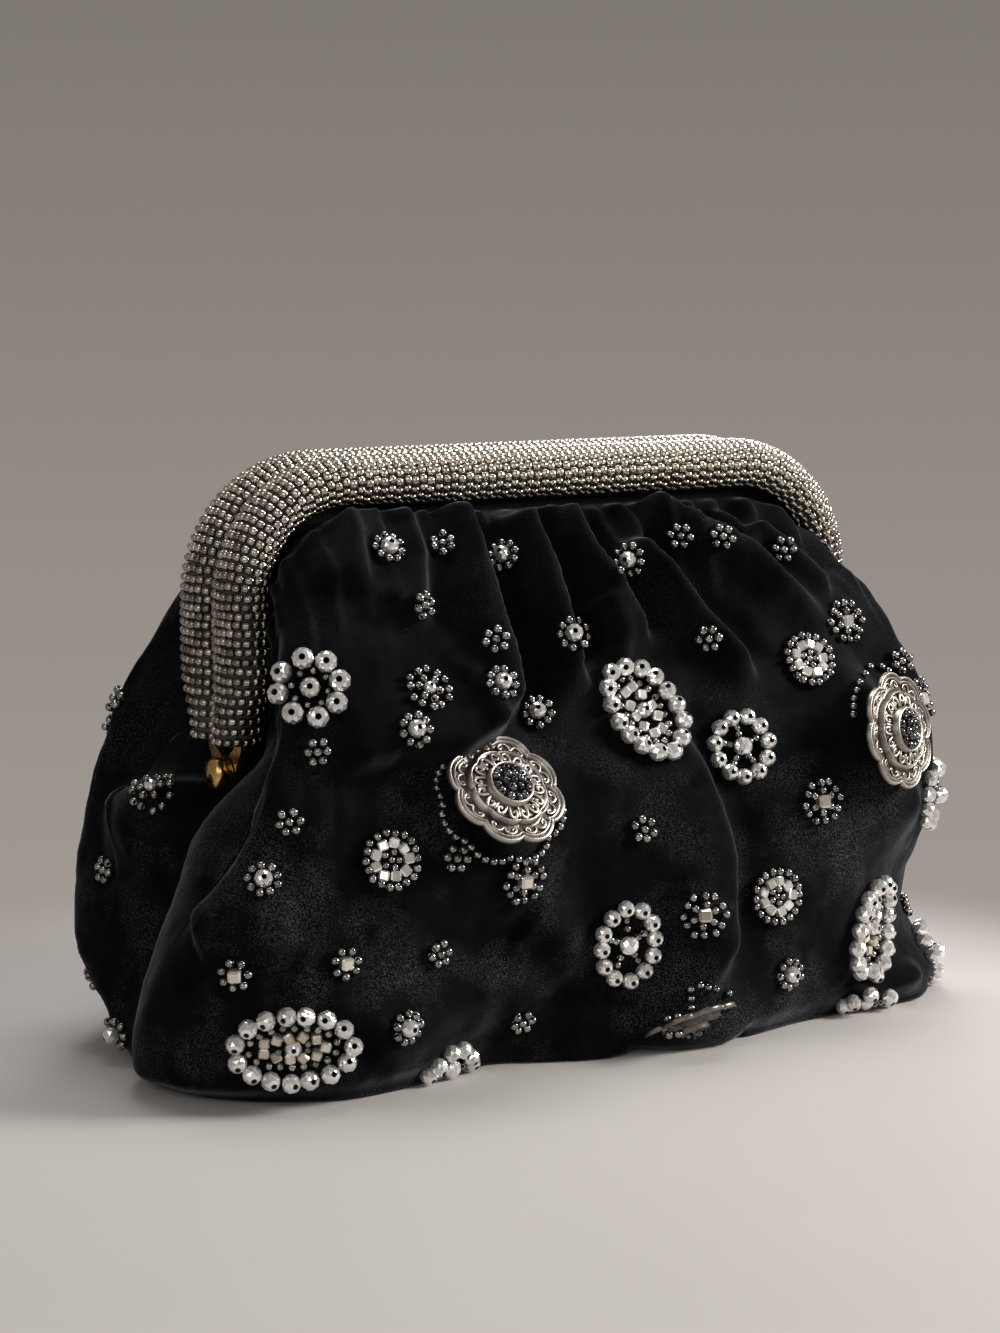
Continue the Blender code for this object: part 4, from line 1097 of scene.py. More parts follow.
def roll_fabric(half, rear):
    """The padded fabric roll under the beads, closed at both feet."""
    flip = FRONT_TO_REAR if rear else np.ones(3)
    stations = list(ROLL_FOOT_SHARES)
    stations += [(along, 1.0) for along in np.linspace(ROLL_END, ROLL_LENGTH - ROLL_END, ROLL_STEPS + 1)]
    stations += [(ROLL_LENGTH - along, taper) for along, taper in ROLL_FOOT_SHARES[::-1]]
    points = []
    for along, taper in stations:
        for turn in turns_round(ROLL_SIDES):
            dent = ROLL_MOUTH_DENT * smooth((-math.cos(turn) - 0.90) / 0.10)
            points.append(section_point(along, turn, ROLL_SKIN + dent, taper) * flip)
    faces = ring_quads(len(stations), ROLL_SIDES) + ring_caps(len(stations), ROLL_SIDES)
    made = piece(f"bead_fabric_{half}", points, faces if rear else flipped(faces), ["roll"])
    stand_for(made, "padding", f"frame_padding_{half}")
    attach(made, f"{half}_frame")


for half in HALVES:
    roll_fabric(half, half == "rear")
    roll_beads(half, half == "rear")


# Hinges

# Share of the pin's length and share of its radius
PIN_SHARES = ((0.0, 0.32), (0.10, 0.34), (0.11, 0.33), (0.56, 0.33), (0.57, 0.93), (0.60, 1.0), (0.74, 1.0),
              (0.84, 0.94), (0.92, 0.78), (0.97, 0.52), (1.0, 0.20), (1.0, 0.0))
PIN_SIDES = 40
PIN_RIPPLE = 0.004


def smooth_pin(place, side):
    """A pin along the hinge's axis with a domed head outside."""
    lo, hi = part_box(f"hinge_pin_{place}")
    length, radius = hi[0] - lo[0], (hi[2] - lo[2]) / 2.0
    inner = lo[0] if side > 0.0 else hi[0]
    points = []
    for along, wide in PIN_SHARES:
        for turn in turns_round(PIN_SIDES):
            reach = radius * wide * (1.0 + PIN_RIPPLE * math.sin(7.0 * turn + 9.0 * along))
            x = inner + side * length * along
            points.append((x, reach * math.cos(turn), HINGE_HEIGHT + reach * math.sin(turn)))
    faces = ring_quads(len(PIN_SHARES), PIN_SIDES) + ring_caps(len(PIN_SHARES), PIN_SIDES)
    made = piece(f"pin_turned_{place}", points, flipped(faces) if side < 0.0 else faces, ["brass"])
    stand_for(made, "brass", f"hinge_pin_{place}")
    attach(made, "pouch")


smooth_pin("left", -1.0)
smooth_pin("right", 1.0)


# Motifs


SEEN_FACING = 0.45
SEARCH_HEIGHT = 0.012
SEARCH_DEPTH = 0.0168
BESIDE_REACHES = np.linspace(0.60, 0.95, 71)
BEAD_REST = 0.78
BEAD_SINK = 0.15
BEAD_OFF_FLOOR = 0.0003
OWN_NORMAL_SHARE = 0.35
RING_JITTER = 0.0002
CUBE_TIP = 0.22
SEED_FACES = (0.75, 1.25)
SEED_SPIN = 0.5
MOTIF_LOOKS = ["facets", "hole_painted_shade", "seeds", "cubes", "black_seeds"]
FACET_PART, HOLE_SHADE_PART, SEED_PART, CUBE_PART, BLACK_PART = range(5)
# Form, part and range of brightness
BEAD_KINDS = {
    "facet": (FACET, FACET_PART, (0.2, 1.0)),
    "cube": (CUBE, CUBE_PART, (0.15, 0.95)),
    "seed": (SEED, SEED_PART, (0.25, 0.8)),
}


def under_pixel(x, y):
    """The half, place and normal of the velvet under a pixel of the photograph, or nearest to it."""
    found = []
    for half in HALVES:
        hit, normal, _, distance = CLOTH_TREES[half].ray_cast(Vector(EYE), Vector(pixel_ray(x, y)))
        if hit is not None:
            found.append((distance, half, np.array(hit), np.array(normal)))
    if not found:
        for reach in BESIDE_REACHES:
            beside = Vector(EYE + pixel_ray(x, y) * reach)
            for half in HALVES:
                hit, normal, _, distance = CLOTH_TREES[half].find_nearest(beside)
                found.append((distance, half, np.array(hit), np.array(normal)))
    return min(found, key=lambda entry: entry[0])[1:]


def on_rear(x, z):
    """The half, place and normal of the velvet at a distance across and a height, seen from behind."""
    hit, normal, _, _ = CLOTH_TREES["rear"].ray_cast(Vector((x, 0.2, z)), Vector((0.0, -1.0, 0.0)))
    return "rear", np.array(hit), np.array(normal)


def drop_on(half, point, normal):
    """The velvet by a point, with its own normal. Cloth that the camera sees is looked for along its view."""
    way = unit(EYE - point)
    if half != "front" or way @ normal < SEEN_FACING:
        way = normal
    start = Vector(point + way * SEARCH_HEIGHT)
    hit, face_normal, _, _ = CLOTH_TREES[half].ray_cast(start, Vector(-way), SEARCH_HEIGHT + SEARCH_DEPTH)
    if hit is None:
        hit, face_normal, _, _ = CLOTH_TREES[half].find_nearest(Vector(point))
    face_normal = np.array(face_normal)
    return np.array(hit), face_normal if face_normal @ normal >= 0.0 else -face_normal


def seat(where, reach):
    """The half, mean place and mean normal of the velvet round a point of it."""
    half, at, normal = where
    normal = normal if normal @ at > 0.0 or abs(normal[2]) < 0.9 else -normal
    outward = np.array([0.0, -1.0 if half == "front" else 1.0, 0.0])
    axes = axes_from(normal if abs(normal @ Z_AXIS) < 0.97 else outward, Z_AXIS)
    places, normals = [at], [normal]
    for ring in (0.5, 1.0):
        for turn in turns_round(8):
            aside = (axes[0] * math.cos(turn) + axes[1] * math.sin(turn)) * reach * ring
            place, face_normal = drop_on(half, at + aside, normal)
            places.append(place)
            normals.append(face_normal)
    mean = unit(np.mean(normals, axis=0))
    return half, at + mean * float(np.mean([(p - at) @ mean for p in places])), mean


def bead(pile, kind, seat_of, aside, size, face=0.0, spin=0.0, tone=None):
    """One bead sewn on the velvet at an offset from the middle. face 0 turns its hole up, 1 along the cloth.

    Seeds lie on their sides, as they are sewn, and cubes are slightly tipped.
    """
    half, middle, axes = seat_of
    form, part, tones = BEAD_KINDS[kind]
    if kind == "cube":
        face = RANDOM.uniform(-CUBE_TIP, CUBE_TIP)
    if kind == "seed":
        face = face or RANDOM.uniform(*SEED_FACES)
        spin += RANDOM.uniform(-SEED_SPIN, SEED_SPIN)
    tone = RANDOM.uniform(*tones) if tone is None else tone
    at, local = drop_on(half, middle + axes[0] * aside[0] + axes[1] * aside[1], axes[2])
    normal = unit(axes[2] * (1.0 - OWN_NORMAL_SHARE) + local * OWN_NORMAL_SHARE)
    own = axes_from(normal, axes[0] * -math.sin(spin) + axes[1] * math.cos(spin))
    tilt = face * math.pi / 2.0
    hole_axis = own[2] * math.cos(tilt) + own[1] * math.sin(tilt)
    up = own[1] * math.cos(tilt) - own[2] * math.sin(tilt)
    rest = size * (BEAD_REST * math.cos(tilt) + math.sin(tilt))
    centre = at + normal * rest * (1.0 - BEAD_SINK)
    centre[2] = max(centre[2], size + BEAD_OFF_FLOOR)
    bead_axes = np.array([np.cross(up, hole_axis), up, hole_axis])
    pile.add(form, centre, bead_axes, size, tone, part, HOLE_SHADE_PART)


def ring_of(pile, seat_of, kind, wide, tall, count, size, face=0.0, start=0.0, lean=0.0, tone=None):
    """Beads round an ellipse, evenly by length. lean turns the ellipse, and tone is a range."""
    turns = np.linspace(0.0, 2.0 * math.pi, 361)
    run = run_along(np.stack([wide * np.cos(turns), tall * np.sin(turns)], axis=1))
    for i in range(count):
        turn = float(np.interp((i + start) / count * run[-1], run, turns))
        x, y = wide * math.cos(turn), tall * math.sin(turn)
        x, y = x * math.cos(lean) - y * math.sin(lean), x * math.sin(lean) + y * math.cos(lean)
        aside = x + RANDOM.uniform(-RING_JITTER, RING_JITTER), y + RANDOM.uniform(-RING_JITTER, RING_JITTER)
        loose = 0.0 if face else RANDOM.uniform(-0.3, 0.3) if kind == "cube" else RANDOM.uniform(0.0, 0.8)
        tilt = face and face * RANDOM.uniform(0.75, 1.0)
        shade = RANDOM.uniform(*tone) if tone else None
        bead(pile, kind, seat_of, aside, size, tilt, math.atan2(y, x) + loose, shade)


def small_ring(pile, at):
    ring_of(pile, at, "facet", 0.0078, 0.0078, 8, 0.0030, start=0.3)
    ring_of(pile, at, "seed", 0.0046, 0.0046, 8, 0.00095, start=0.8)
    bead(pile, "facet", at, (0.0, 0.0), 0.0028)


def ring(pile, at, wide=0.0084, tall=0.0084, count=11):
    ring_of(pile, at, "facet", wide, tall, count, 0.00246, start=0.2)
    for turn in turns_round(5):
        for reach in (0.42, 0.64):
            aside = (wide * reach * math.cos(turn + 0.4), tall * reach * math.sin(turn + 0.4))
            bead(pile, "seed", at, aside, 0.00108, 0.0, turn + 0.4)
    bead(pile, "facet", at, (0.0, 0.0), 0.0027, 1.0, 0.0, 1.0)


def upright_ring(pile, at):
    ring(pile, at, 0.0080, 0.0104, 12)


def round_motif(pile, at):
    ring_of(pile, at, "seed", 0.0071, 0.0071, 18, 0.00120)
    ring_of(pile, at, "cube", 0.0044, 0.0044, 9, 0.00136, tone=(0.6, 1.0))
    ring_of(pile, at, "seed", 0.0019, 0.0019, 5, 0.00100)
    bead(pile, "seed", at, (0.0, 0.0), 0.00100)


def oval(pile, at, wide, tall, count, lean, tone=None):
    """Faceted beads outside, then seeds, cubes and a faceted centre."""
    ring_of(pile, at, "facet", wide - 0.0026, tall - 0.0026, count, 0.00264, face=0.30, start=0.1, lean=lean)
    ring_of(pile, at, "seed", wide - 0.0062, tall - 0.0062, int(count * 1.25), 0.00112, start=0.4, lean=lean)
    inner_wide, inner_tall = max(wide - 0.0094, 0.0030), max(tall - 0.0086, 0.0030)
    count = int(2.0 * math.pi * math.sqrt((inner_wide**2 + inner_tall**2) / 2.0) / 0.0036)
    ring_of(pile, at, "cube", inner_wide, inner_tall, count, 0.00136, lean=lean, tone=tone)
    if inner_wide > 0.0045:
        ring_of(pile, at, "seed", inner_wide - 0.0034, 0.0014, 6, 0.00100, start=0.5, lean=lean)
    bead(pile, "facet", at, (0.0, 0.0), 0.0023, 0.0)


def wide_oval(pile, at):
    oval(pile, at, 0.0178, 0.0116, 15, 0.0, (0.0, 0.5))


def tall_oval(pile, at):
    oval(pile, at, 0.0128, 0.0160, 15, -0.40)


def small_oval(pile, at):
    oval(pile, at, 0.0118, 0.0166, 15, 0.50, (0.5, 1.0))


def flower(pile, at):
    ring_of(pile, at, "seed", 0.0027, 0.0027, 6, 0.00126, start=RANDOM.random())
    bead(pile, "seed", at, (0.0, 0.0), 0.00126)


def star_flower(pile, at):
    ring_of(pile, at, "seed", 0.0038, 0.0038, 9, 0.00120, start=RANDOM.random())
    bead(pile, "facet", at, (0.0, 0.0), 0.0025)


def cube_flower(pile, at):
    ring_of(pile, at, "seed", 0.0034, 0.0034, 7, 0.00115, start=RANDOM.random())
    bead(pile, "cube", at, (0.0, 0.0), 0.0017)


def snowflake(pile, at):
    turn_on = RANDOM.uniform(0.0, 1.0)
    for turn in turns_round(6):
        for reach, bend in ((0.0031, 0.0), (0.0054, 0.10), (0.0058, -0.36)):
            bent = turn + turn_on + bend
            aside = (reach * math.cos(bent), reach * math.sin(bent))
            bead(pile, "seed", at, aside, 0.00118, 0.0, turn + turn_on)
    bead(pile, RANDOM.choice(("facet", "cube")), at, (0.0, 0.0), 0.0018)


def place_motif(name, recipe, where, reach, *nodes):
    """One motif, its beads each seated on the velvet, going with the pouch or the frame by the height of its
    middle, or baked in place between.
    """
    half, middle, mean = seat(where, reach)
    pile = Pile()
    recipe(pile, (half, middle, axes_from(mean, Z_AXIS)))
    made = pile.build(name, MOTIF_LOOKS, (FACET_PART, CUBE_PART))
    stand_for(made, "facet_beads", *nodes)
    follow_place(made, half, middle)
    return middle


# Large motifs in the photograph: CAD node, recipe, pixel and reach
LARGE_MOTIFS = (
    ("motif_ring_by_arm", small_ring, (310, 688), 0.008),
    ("motif_oval_low_left", wide_oval, (293, 1047), 0.011),
    ("motif_round_left", round_motif, (391, 860), 0.007),
    ("motif_oval_middle", small_oval, (641, 712), 0.009),
    ("motif_ring_right", ring, (739, 747), 0.009),
    ("motif_round_by_right_arm", round_motif, (808, 660), 0.007),
    ("motif_ring_low_middle", upright_ring, (626, 943), 0.009),
    ("motif_oval_right", tall_oval, (868, 927), 0.011),
    ("motif_round_low_right", round_motif, (776, 896), 0.007),
)
for name, recipe, pixel, reach in LARGE_MOTIFS:
    place_motif(name.replace("motif", "beadwork"), recipe, under_pixel(*pixel), reach, name)

REAR_MOTIFS = (
    ("motif_ring_rear_middle", ring, 0.0100, 0.0800, 0.009),
    ("motif_oval_rear_left", wide_oval, -0.0700, 0.0299, 0.011),
    ("motif_round_rear_right", round_motif, 0.0750, 0.0299, 0.007),
)
for name, recipe, x, z, reach in REAR_MOTIFS:
    place_motif(name.replace("motif", "beadwork"), recipe, on_rear(x, z), reach, name)

# Rings seen edge on in the photograph, at the bottom and on the silhouette
EDGE_REACH = 0.007
EDGE_MOTIFS = (
    ("beadwork_ring_bottom", ring, (450, 1078)),
    ("beadwork_ring_right_high", ring, (958, 796)),
    ("beadwork_ring_right_low", ring, (940, 950)),
    ("beadwork_ring_right_foot", ring, (862, 1006)),
    ("beadwork_flower_left_foot", star_flower, (112, 1036)),
)
for name, recipe, pixel in EDGE_MOTIFS:
    place_motif(name, recipe, under_pixel(*pixel), EDGE_REACH)

# Strands of seeds sewn on the cloth, as lines in the photograph
STRAND_RADIUS = 0.00112
STRANDS = (
    ("seed_strand_scallop", ((690, 1007), (690, 988), (700, 984), (714, 987), (726, 993), (736, 1002))),
    ("seed_strand_upper_right", ((853, 700), (858, 684), (868, 668), (880, 668), (893, 676))),
    ("seed_strand_right", ((853, 700), (852, 715), (856, 722))),
)


def strand(name, pixels, step=9.2):
    """Seeds in a line on the cloth, going with the pouch or the frame by the height of their middle, or baked
    in place between.
    """
    pile, places = Pile(), []
    for (ax, ay), (bx, by) in zip(pixels, pixels[1:]):
        count = max(round(math.hypot(bx - ax, by - ay) / step), 1)
        for i in range(count):
            share = i / count
            half, at, normal = under_pixel(ax + (bx - ax) * share, ay + (by - ay) * share)
            bead(pile, "seed", (half, at, axes_from(normal, Z_AXIS)), (0.0, 0.0), STRAND_RADIUS, 1.0)
            places.append(at)
    made = pile.build(name, MOTIF_LOOKS)
    stand_for(made, "seed_beads")
    follow_place(made, "front", np.mean(places, axis=0))


for name, pixels in STRANDS:
    strand(name, pixels)

SMALL_MOTIFS = (
    (star_flower, ((388, 549), (504, 557), (415, 730), (577, 630), (537, 713), (263, 880), (406, 1027),
                   (788, 973), (500, 684), (630, 560))),
    (cube_flower, ((235, 975), (345, 963))),
    (flower, ((443, 546), (425, 605), (318, 752), (496, 640), (456, 858), (438, 953), (521, 1020), (722, 537),
              (783, 549), (107, 870), (672, 1024), (643, 829), (905, 905), (680, 536), (709, 638), (289, 822),
              (116, 699), (900, 662))),
    (snowflake, ((428, 690), (523, 880), (844, 622), (821, 801), (704, 915), (918, 700), (152, 788))),
)
SMALL_REACH = 0.003
# Round each large motif and the medallion of the rear: across, height and radius
REAR_KEEP_OUT = ((0.0100, 0.0800, 0.016), (-0.0700, 0.0299, 0.021), (0.0750, 0.0299, 0.014),
                 (0.0380, 0.0480, 0.021))
small_places = []
for recipe, pixels in SMALL_MOTIFS:
    for pixel in pixels:
        number = len(small_places) + 1
        where = under_pixel(*pixel)
        middle = place_motif(f"sewn_flower_{number:02d}", recipe, where, SMALL_REACH)
        small_places.append((recipe, where[0], middle))

# The back carries the same scatter of small motifs, set out the other way round
for recipe, half, middle in small_places:
    x, z = -middle[0], middle[2]
    if half == "front" and all(math.hypot(x - a, z - b) > r for a, b, r in REAR_KEEP_OUT):
        number += 1
        hit, normal, _, _ = CLOTH_TREES["rear"].find_nearest(Vector((x, -middle[1], z)))
        where = "rear", np.array(hit), np.array(normal)
        place_motif(f"sewn_flower_{number:02d}", recipe, where, SMALL_REACH)


# Medallions

PLATE_RADIUS = 0.0170
PLATE_LOBES = 8
PLATE_SIDES = 192
LOBE_DEPTH = 0.12
LOBE_POWER = 0.7
ROUND_SHARE = 0.94
LOBED_FROM = 0.55
LOBED_OVER = 0.25
CUP_TOP = 0.0070
# Distance from the middle, height and number of seeds
CUP_SEED_RINGS = ((0.0, 0.0058, 1), (0.0023, 0.0054, 6), (0.0046, 0.0045, 12))
CUP_SEED_RADIUS = 0.00122
CUP_SEED_TURN = 0.2
CUP_SEED_LIFT = 0.0003
CUP_CLEARANCE = 0.0006
PLATE_FOLLOWS_ABOVE = 0.007


def lobe_radius(turn):
    """Radius of the plate's edge: eight rounded lobes that meet in cusps."""
    lobe = abs(math.cos(PLATE_LOBES / 2.0 * turn)) ** LOBE_POWER
    return PLATE_RADIUS * (1.0 - LOBE_DEPTH * (1.0 - lobe))


# The plate's profile: share of the radius, height, brightness
PLATE_ROWS = (
    (0.00, 0.0024, 0.02), (0.20, 0.0024, 0.02), (0.32, 0.0026, 0.20), (0.36, 0.0046, 0.95),
    (0.385, 0.0051, 1.0), (0.405, 0.0044, 0.85), (0.415, 0.0026, 0.02), (0.50, 0.0026, 0.02),
    (0.60, 0.0024, 0.02), (0.642, 0.0021, 0.01), (0.656, 0.0029, 0.75), (0.674, 0.0029, 0.85),
    (0.690, 0.0012, 0.00), (0.740, 0.0011, 0.00), (0.800, 0.0010, 0.02), (0.876, 0.0010, 0.02),
    (0.888, 0.0018, 0.80), (0.904, 0.0018, 0.80), (0.916, 0.0009, 0.00), (0.946, 0.0009, 0.00),
    (0.960, 0.0019, 0.90), (0.985, 0.0018, 1.00), (1.0, 0.0010, 0.50), (1.0, 0.0003, 0.05),
    (0.97, 0.0, 0.05), (0.0, 0.0, 0.05),
)
UPPER_ROWS = 23
# Scrolls in the lobes and on the dome: share of the radius and turn from the middle of the lobe
LOBE_SCROLL_SHARES = ((0.745, 0.01), (0.785, 0.03), (0.835, 0.09), (0.850, 0.17), (0.835, 0.25),
                      (0.790, 0.29), (0.755, 0.25), (0.765, 0.19), (0.800, 0.19))
DOME_SCROLL_SHARES = ((0.420, 0.04), (0.450, 0.05), (0.520, 0.07), (0.600, 0.12), (0.630, 0.22),
                      (0.590, 0.31), (0.515, 0.31), (0.495, 0.22), (0.545, 0.20))
DOME_STEM_SHARES = ((0.425, 0.39), (0.47, 0.40), (0.53, 0.38), (0.61, 0.39))
LOBE_WIRE = 0.00036
DOME_WIRE = 0.00050
WIRE_SIDES = 6
WIRE_TONE = 0.95
WIRE_SHADE = 0.35
WIRE_THINNING = 0.35
WIRE_RISE = 0.55
CORNER_CUTS = 2
MEDALLION_REACH = 0.011
MEDALLION_LIFT = 0.0006
STRAND_FROM = math.radians(140.0)
STRAND_TO = math.radians(345.0)
STRAND_STEP = 0.0024
STRAND_SPREAD = 1.04
STRAND_CLEARANCE = 0.0008


def plate_height(share):
    upper = PLATE_ROWS[:UPPER_ROWS]
    return float(np.interp(share, [row[0] for row in upper], [row[1] for row in upper]))


def plate_point(share, turn):
    """A place on the plate: round near the cup, lobed at the edge."""
    lobed = smooth((share - LOBED_FROM) / LOBED_OVER)
    reach = share * (PLATE_RADIUS * ROUND_SHARE * (1.0 - lobed) + lobe_radius(turn) * lobed)
    return np.array([reach * math.cos(turn), reach * math.sin(turn)])


def scroll(shares, middle_turn, way=1.0):
    """A smooth line on the plate through places given by share of the radius and turn."""
    given = np.array([(share, middle_turn + way * turn) for share, turn in shares])
    for _ in range(CORNER_CUTS):
        cut = [given[0]]
        for before, after in zip(given, given[1:]):
            cut += [before * 0.75 + after * 0.25, before * 0.25 + after * 0.75]
        given = np.array(cut + [given[-1]])
    return [plate_point(share, turn) for share, turn in given]


def add_wire(store, line, radius):
    """A round wire laid along a line of (x, y) places on the plate, thinner towards its ends."""
    points, faces, tones = store
    start, last = len(points), len(line) - 1
    for i, at in enumerate(line):
        along = line[min(i + 1, last)] - line[max(i - 1, 0)]
        along = along / max(np.linalg.norm(along), 1e-9)
        across = np.array([-along[1], along[0]])
        low = plate_height(min(np.linalg.norm(at) / PLATE_RADIUS / 0.95, 0.98))
        thin = radius * (1.0 - WIRE_THINNING * abs(2.0 * i / last - 1.0) ** 3)
        for turn in turns_round(WIRE_SIDES):
            x, y = at + across * (thin * math.cos(turn))
            points.append((x, y, low + thin * (WIRE_RISE + math.sin(turn))))
            tones.append(WIRE_TONE * (WIRE_SHADE + (1.0 - WIRE_SHADE) * max(math.sin(turn), 0.0)))
    faces.extend(ring_quads(len(line), WIRE_SIDES, start, inward=True))
    faces.extend(flipped(ring_caps(len(line), WIRE_SIDES, start)))


def plate_form():
    """Points, faces and tones of the lobed plate with its wires."""
    points, faces, tones = [], ring_quads(len(PLATE_ROWS), PLATE_SIDES, inward=True), []
    store = (points, faces, tones)
    for share, height, tone in PLATE_ROWS:
        points += [(*plate_point(share, turn), height) for turn in turns_round(PLATE_SIDES)]
        tones += [tone] * PLATE_SIDES
    for middle_turn in turns_round(PLATE_LOBES):
        for way in (-1.0, 1.0):
            add_wire(store, scroll(LOBE_SCROLL_SHARES, middle_turn, way), LOBE_WIRE)
            add_wire(store, scroll(DOME_SCROLL_SHARES, middle_turn, way), DOME_WIRE)
        add_wire(store, scroll(DOME_STEM_SHARES, middle_turn), DOME_WIRE)
    return np.array(points), faces, np.array(tones)


PLATE_POINTS, PLATE_FACES, PLATE_TONES = plate_form()


def cup_seeds(name, centre, axes, scale):
    """Black seed beads lying every way in the cup of a medallion."""
    pile = Pile()
    for reach, high, count in CUP_SEED_RINGS:
        for i in range(count):
            turn = 2.0 * math.pi * (i + RANDOM.uniform(-CUP_SEED_TURN, CUP_SEED_TURN)) / count
            lifted = high + RANDOM.uniform(-CUP_SEED_LIFT, CUP_SEED_LIFT)
            aside = axes[0] * reach * math.cos(turn) + axes[1] * reach * math.sin(turn)
            own = axes_from(np.array([RANDOM.uniform(-1.0, 1.0) for _ in range(3)]), axes[0])
            at = centre + (aside + axes[2] * lifted) * scale
            pile.add(SEED, at, own, CUP_SEED_RADIUS * scale, RANDOM.random(), BLACK_PART, HOLE_SHADE_PART)
    return pile.build(f"cup_seeds_{name}", MOTIF_LOOKS)


def seeds_round(name, seat_of, axes, spin):
    """A strand of seeds on the cloth, part of the way round a medallion."""
    half, middle, cloth_axes = seat_of
    pile, turn = Pile(), STRAND_FROM
    while turn < STRAND_TO:
        reach = lobe_radius(turn - spin) * STRAND_SPREAD + STRAND_CLEARANCE
        place = (axes[0] * math.cos(turn) + axes[1] * math.sin(turn)) * reach
        aside = float(place @ cloth_axes[0]), float(place @ cloth_axes[1])
        bead(pile, "seed", seat_of, aside, STRAND_RADIUS, 1.0, turn + math.pi / 2.0)
        turn += STRAND_STEP / reach
    made = pile.build(f"seed_strand_{name}", MOTIF_LOOKS)
    stand_for(made, "seed_beads")
    follow_place(made, half, middle)


def medallion(name, where, spin, facing=None, lift=MEDALLION_LIFT, scale=1.0, painted_light=1.0, in_cad=True,
              strand=False):
    """A lobed silver plate with wire scrolls, a cup of seeds and, for some, a strand of seeds round it."""
    half, middle, mean = where
    axes = axes_from(mean if facing is None else facing, Z_AXIS)
    turned = np.array([[math.cos(spin), math.sin(spin), 0.0], [-math.sin(spin), math.cos(spin), 0.0], Z_AXIS])
    points = (PLATE_POINTS * scale @ turned) @ axes
    centre = middle + axes[2] * lift
    lowest = centre[2] + min(points[:, 2].min(), axes[2][2] * CUP_TOP)
    centre = centre + Z_AXIS * max(CUP_CLEARANCE - lowest, 0.0)
    # The plate's tones are scaled by the painted light level: below 1 it is painted shade
    plate = piece(f"filigree_{name}", centre + points, PLATE_FACES, ["filigree"], tones=PLATE_TONES * painted_light)
    seeds = cup_seeds(name, centre, axes, scale)
    for made, slot, node_name in ((plate, "medallion_metal", "medallion"), (seeds, "seed_beads", "seed_cup")):
        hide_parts(*([f"{node_name}_{name}"] if in_cad else []))
        follow_place(made, half, middle + Z_AXIS * PLATE_FOLLOWS_ABOVE)
    if strand:
        seeds_round(name, (half, middle, axes_from(mean, Z_AXIS)), axes, spin)


BOTTOM_AT = np.array([0.0170, -0.0594, 0.0066])
MIDDLE_FACING = -FORWARD * 0.71 + RIGHT * 0.42 + UP * 0.56
RIGHT_FACING = -FORWARD * 0.62 + RIGHT * 0.76 + UP * 0.12
BOTTOM_FACING = -FORWARD * 0.24 + RIGHT * 0.33 - UP * 0.91
medallion("middle", seat(under_pixel(500, 798), MEDALLION_REACH), 0.3, MIDDLE_FACING, 0.0038, strand=True)
# Painted shade: the right plate a little darker, and the bottom one, in the shadow under the belly, much
# darker
medallion("right", seat(under_pixel(884, 732), MEDALLION_REACH), 0.1, RIGHT_FACING, 0.0045, painted_light=0.75)
medallion("bottom", ("front", BOTTOM_AT, BOTTOM_FACING), 0.2, lift=0.0, scale=0.84, painted_light=0.25, in_cad=False)
medallion("rear", seat(on_rear(0.0380, 0.0480), MEDALLION_REACH), 0.2, strand=True)


# Floor, light and camera


def placed(name, data, place, way):
    """A lamp or camera at a place, turned to look one way."""
    made = bpy.data.objects.new(name, data)
    bpy.context.scene.collection.objects.link(made)
    made.location = place
    made.rotation_mode = "QUATERNION"
    made.rotation_quaternion = Vector(way).to_track_quat("-Z", "Y")
    return made


FLOOR_FULL = 0.184
FLOOR_END = 0.297
FLOOR_TOWARDS_EYE = 0.100
FLOOR_RADIUS = FLOOR_END * 1.02
FLOOR_DROP = 0.0001
FLOOR_RINGS = 24
FLOOR_SIDES = 96
FLOOR_DARK = (0.442, 0.414, 0.394)
FLOOR_LIGHT = (0.476, 0.447, 0.427)
FLOOR_PATCH = 9.0
WALL_LOW = (0.352, 0.318, 0.286)
WALL_HIGH = (0.205, 0.183, 0.166)
WALL_RANGE = (-0.22, 0.09)
WALL_LIGHT = (1.0, 0.97, 0.94, 1.0)
WALL_LIGHT_STRENGTH = 0.22
# Name, place, height of the point that it is aimed at, size, power and colour
WHITE = (1.0, 1.0, 1.0)
LAMPS = (
    ("key_softbox", (0.84, -0.50, 0.50), 0.05, (0.36, 0.30), 16.0, (1.0, 0.98, 0.95)),
    ("fill_softbox", (-0.80, -0.45, 0.45), 0.07, (0.50, 0.60), 1.2, (0.96, 0.98, 1.0)),
    ("front_card", (-0.55, -1.05, 0.55), 0.08, (0.25, 0.60), 1.2, WHITE),
    ("top_softbox", (0.10, 0.10, 0.85), 0.08, (0.50, 0.35), 3.8, WHITE),
    ("rim_softbox", (0.45, 0.62, 0.35), 0.09, (0.30, 0.60), 2.4, WHITE),
)


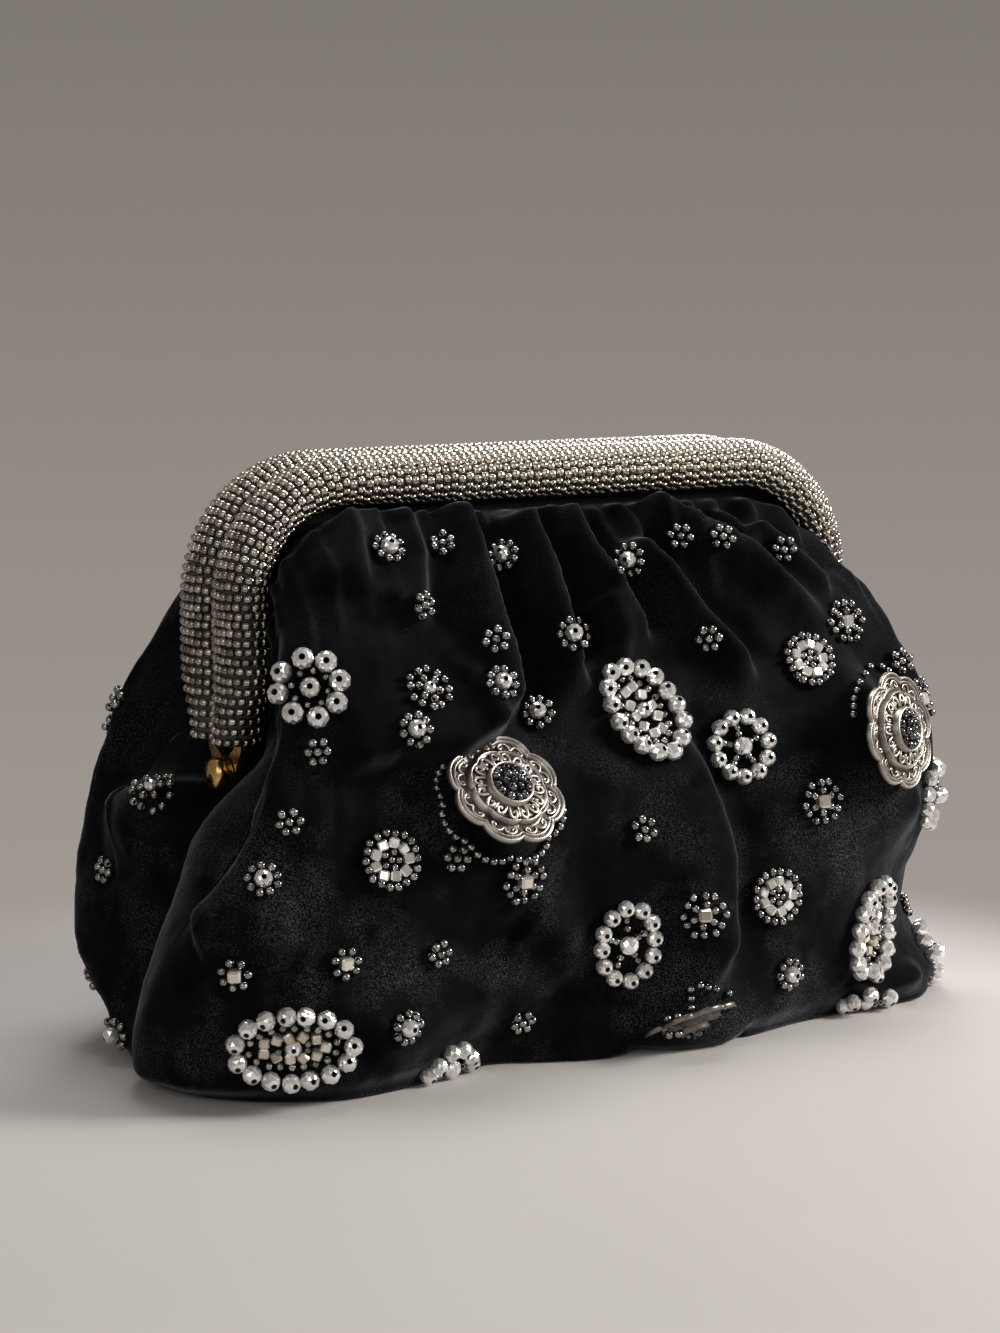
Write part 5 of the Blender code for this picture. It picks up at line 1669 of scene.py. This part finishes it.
def floor():
    """A pale floor that fades into the background behind the object."""
    look = bpy.data.materials.new("floor_paper")
    look.use_nodes = True
    tree = look.node_tree
    shader = tree.nodes["Principled BSDF"]
    shader.inputs["Roughness"].default_value = 0.85
    shader.inputs["Specular IOR Level"].default_value = 0.2
    place = node(tree, "ShaderNodeTexCoord").outputs["Object"]
    colour = mix_node(tree, noise_node(tree, place, FLOOR_PATCH), FLOOR_DARK, FLOOR_LIGHT)
    tree.links.new(colour, shader.inputs["Base Color"])
    length = node(tree, "ShaderNodeVectorMath", operation="LENGTH")
    tree.links.new(place, length.inputs[0])
    fade = node(tree, "ShaderNodeMapRange",
                {"From Min": FLOOR_FULL, "From Max": FLOOR_END, "To Min": 1.0, "To Max": 0.0},
                interpolation_type="SMOOTHSTEP")
    tree.links.new(length.outputs["Value"], fade.inputs["Value"])
    tree.links.new(fade.outputs["Result"], shader.inputs["Alpha"])
    points = [(0.0, 0.0, 0.0)]
    for share in np.linspace(0.0, 1.0, FLOOR_RINGS + 1)[1:]:
        reach = FLOOR_RADIUS * share
        points += [(reach * math.cos(turn), reach * math.sin(turn), 0.0) for turn in turns_round(FLOOR_SIDES)]
    faces = [(0, 1 + i, 1 + (i + 1) % FLOOR_SIDES) for i in range(FLOOR_SIDES)]
    faces += ring_quads(FLOOR_RINGS, FLOOR_SIDES, 1, inward=True)
    made = piece("floor_disc", points, faces, [])
    made.data.materials.append(look)
    towards = unit(np.array([FORWARD[0], FORWARD[1], 0.0]))
    made.location = -towards * FLOOR_TOWARDS_EYE - Z_AXIS * FLOOR_DROP


def world():
    """Background: a warm grey that darkens upwards, and a plain level for the light that it gives."""
    made = bpy.data.worlds.new("studio")
    bpy.context.scene.world = made
    made.use_nodes = True
    tree = made.node_tree
    tree.nodes.clear()
    place = node(tree, "ShaderNodeTexCoord").outputs["Generated"]
    split = node(tree, "ShaderNodeSeparateXYZ")
    tree.links.new(place, split.inputs[0])
    share = ramp_node(tree, split.outputs["Z"], *WALL_RANGE, 0.0, 1.0)
    shown = node(tree, "ShaderNodeBackground", {"Strength": 1.0})
    tree.links.new(mix_node(tree, share, WALL_LOW, WALL_HIGH), shown.inputs["Color"])
    given = node(tree, "ShaderNodeBackground", {"Color": WALL_LIGHT, "Strength": WALL_LIGHT_STRENGTH})
    path = node(tree, "ShaderNodeLightPath")
    seen = math_node(tree, "MAXIMUM", path.outputs["Is Camera Ray"], path.outputs["Is Glossy Ray"])
    seen = math_node(tree, "MAXIMUM", seen, path.outputs["Is Transmission Ray"])
    mixed = node(tree, "ShaderNodeMixShader")
    for i, source in enumerate((seen, given.outputs[0], shown.outputs[0])):
        tree.links.new(source, mixed.inputs[i])
    out = node(tree, "ShaderNodeOutputWorld")
    tree.links.new(mixed.outputs[0], out.inputs["Surface"])


def lamps():
    for name, place, aim, size, power, colour in LAMPS:
        light = bpy.data.lights.new(name, "AREA")
        light.shape = "RECTANGLE"
        light.size, light.size_y = size
        light.energy = power
        light.color = colour
        placed(name, light, place, (-place[0], -place[1], aim - place[2]))


def camera():
    data = bpy.data.cameras.new("photo_camera")
    data.sensor_width = SENSOR_WIDTH
    data.lens = FOCAL_PIXELS * SENSOR_WIDTH / PHOTO_HEIGHT
    data.clip_start, data.clip_end = 0.01, 20.0
    bpy.context.scene.camera = placed("photo_camera", data, EYE, FORWARD)


floor()
world()
lamps()
camera()
bpy.context.scene.view_settings.view_transform = "Standard"
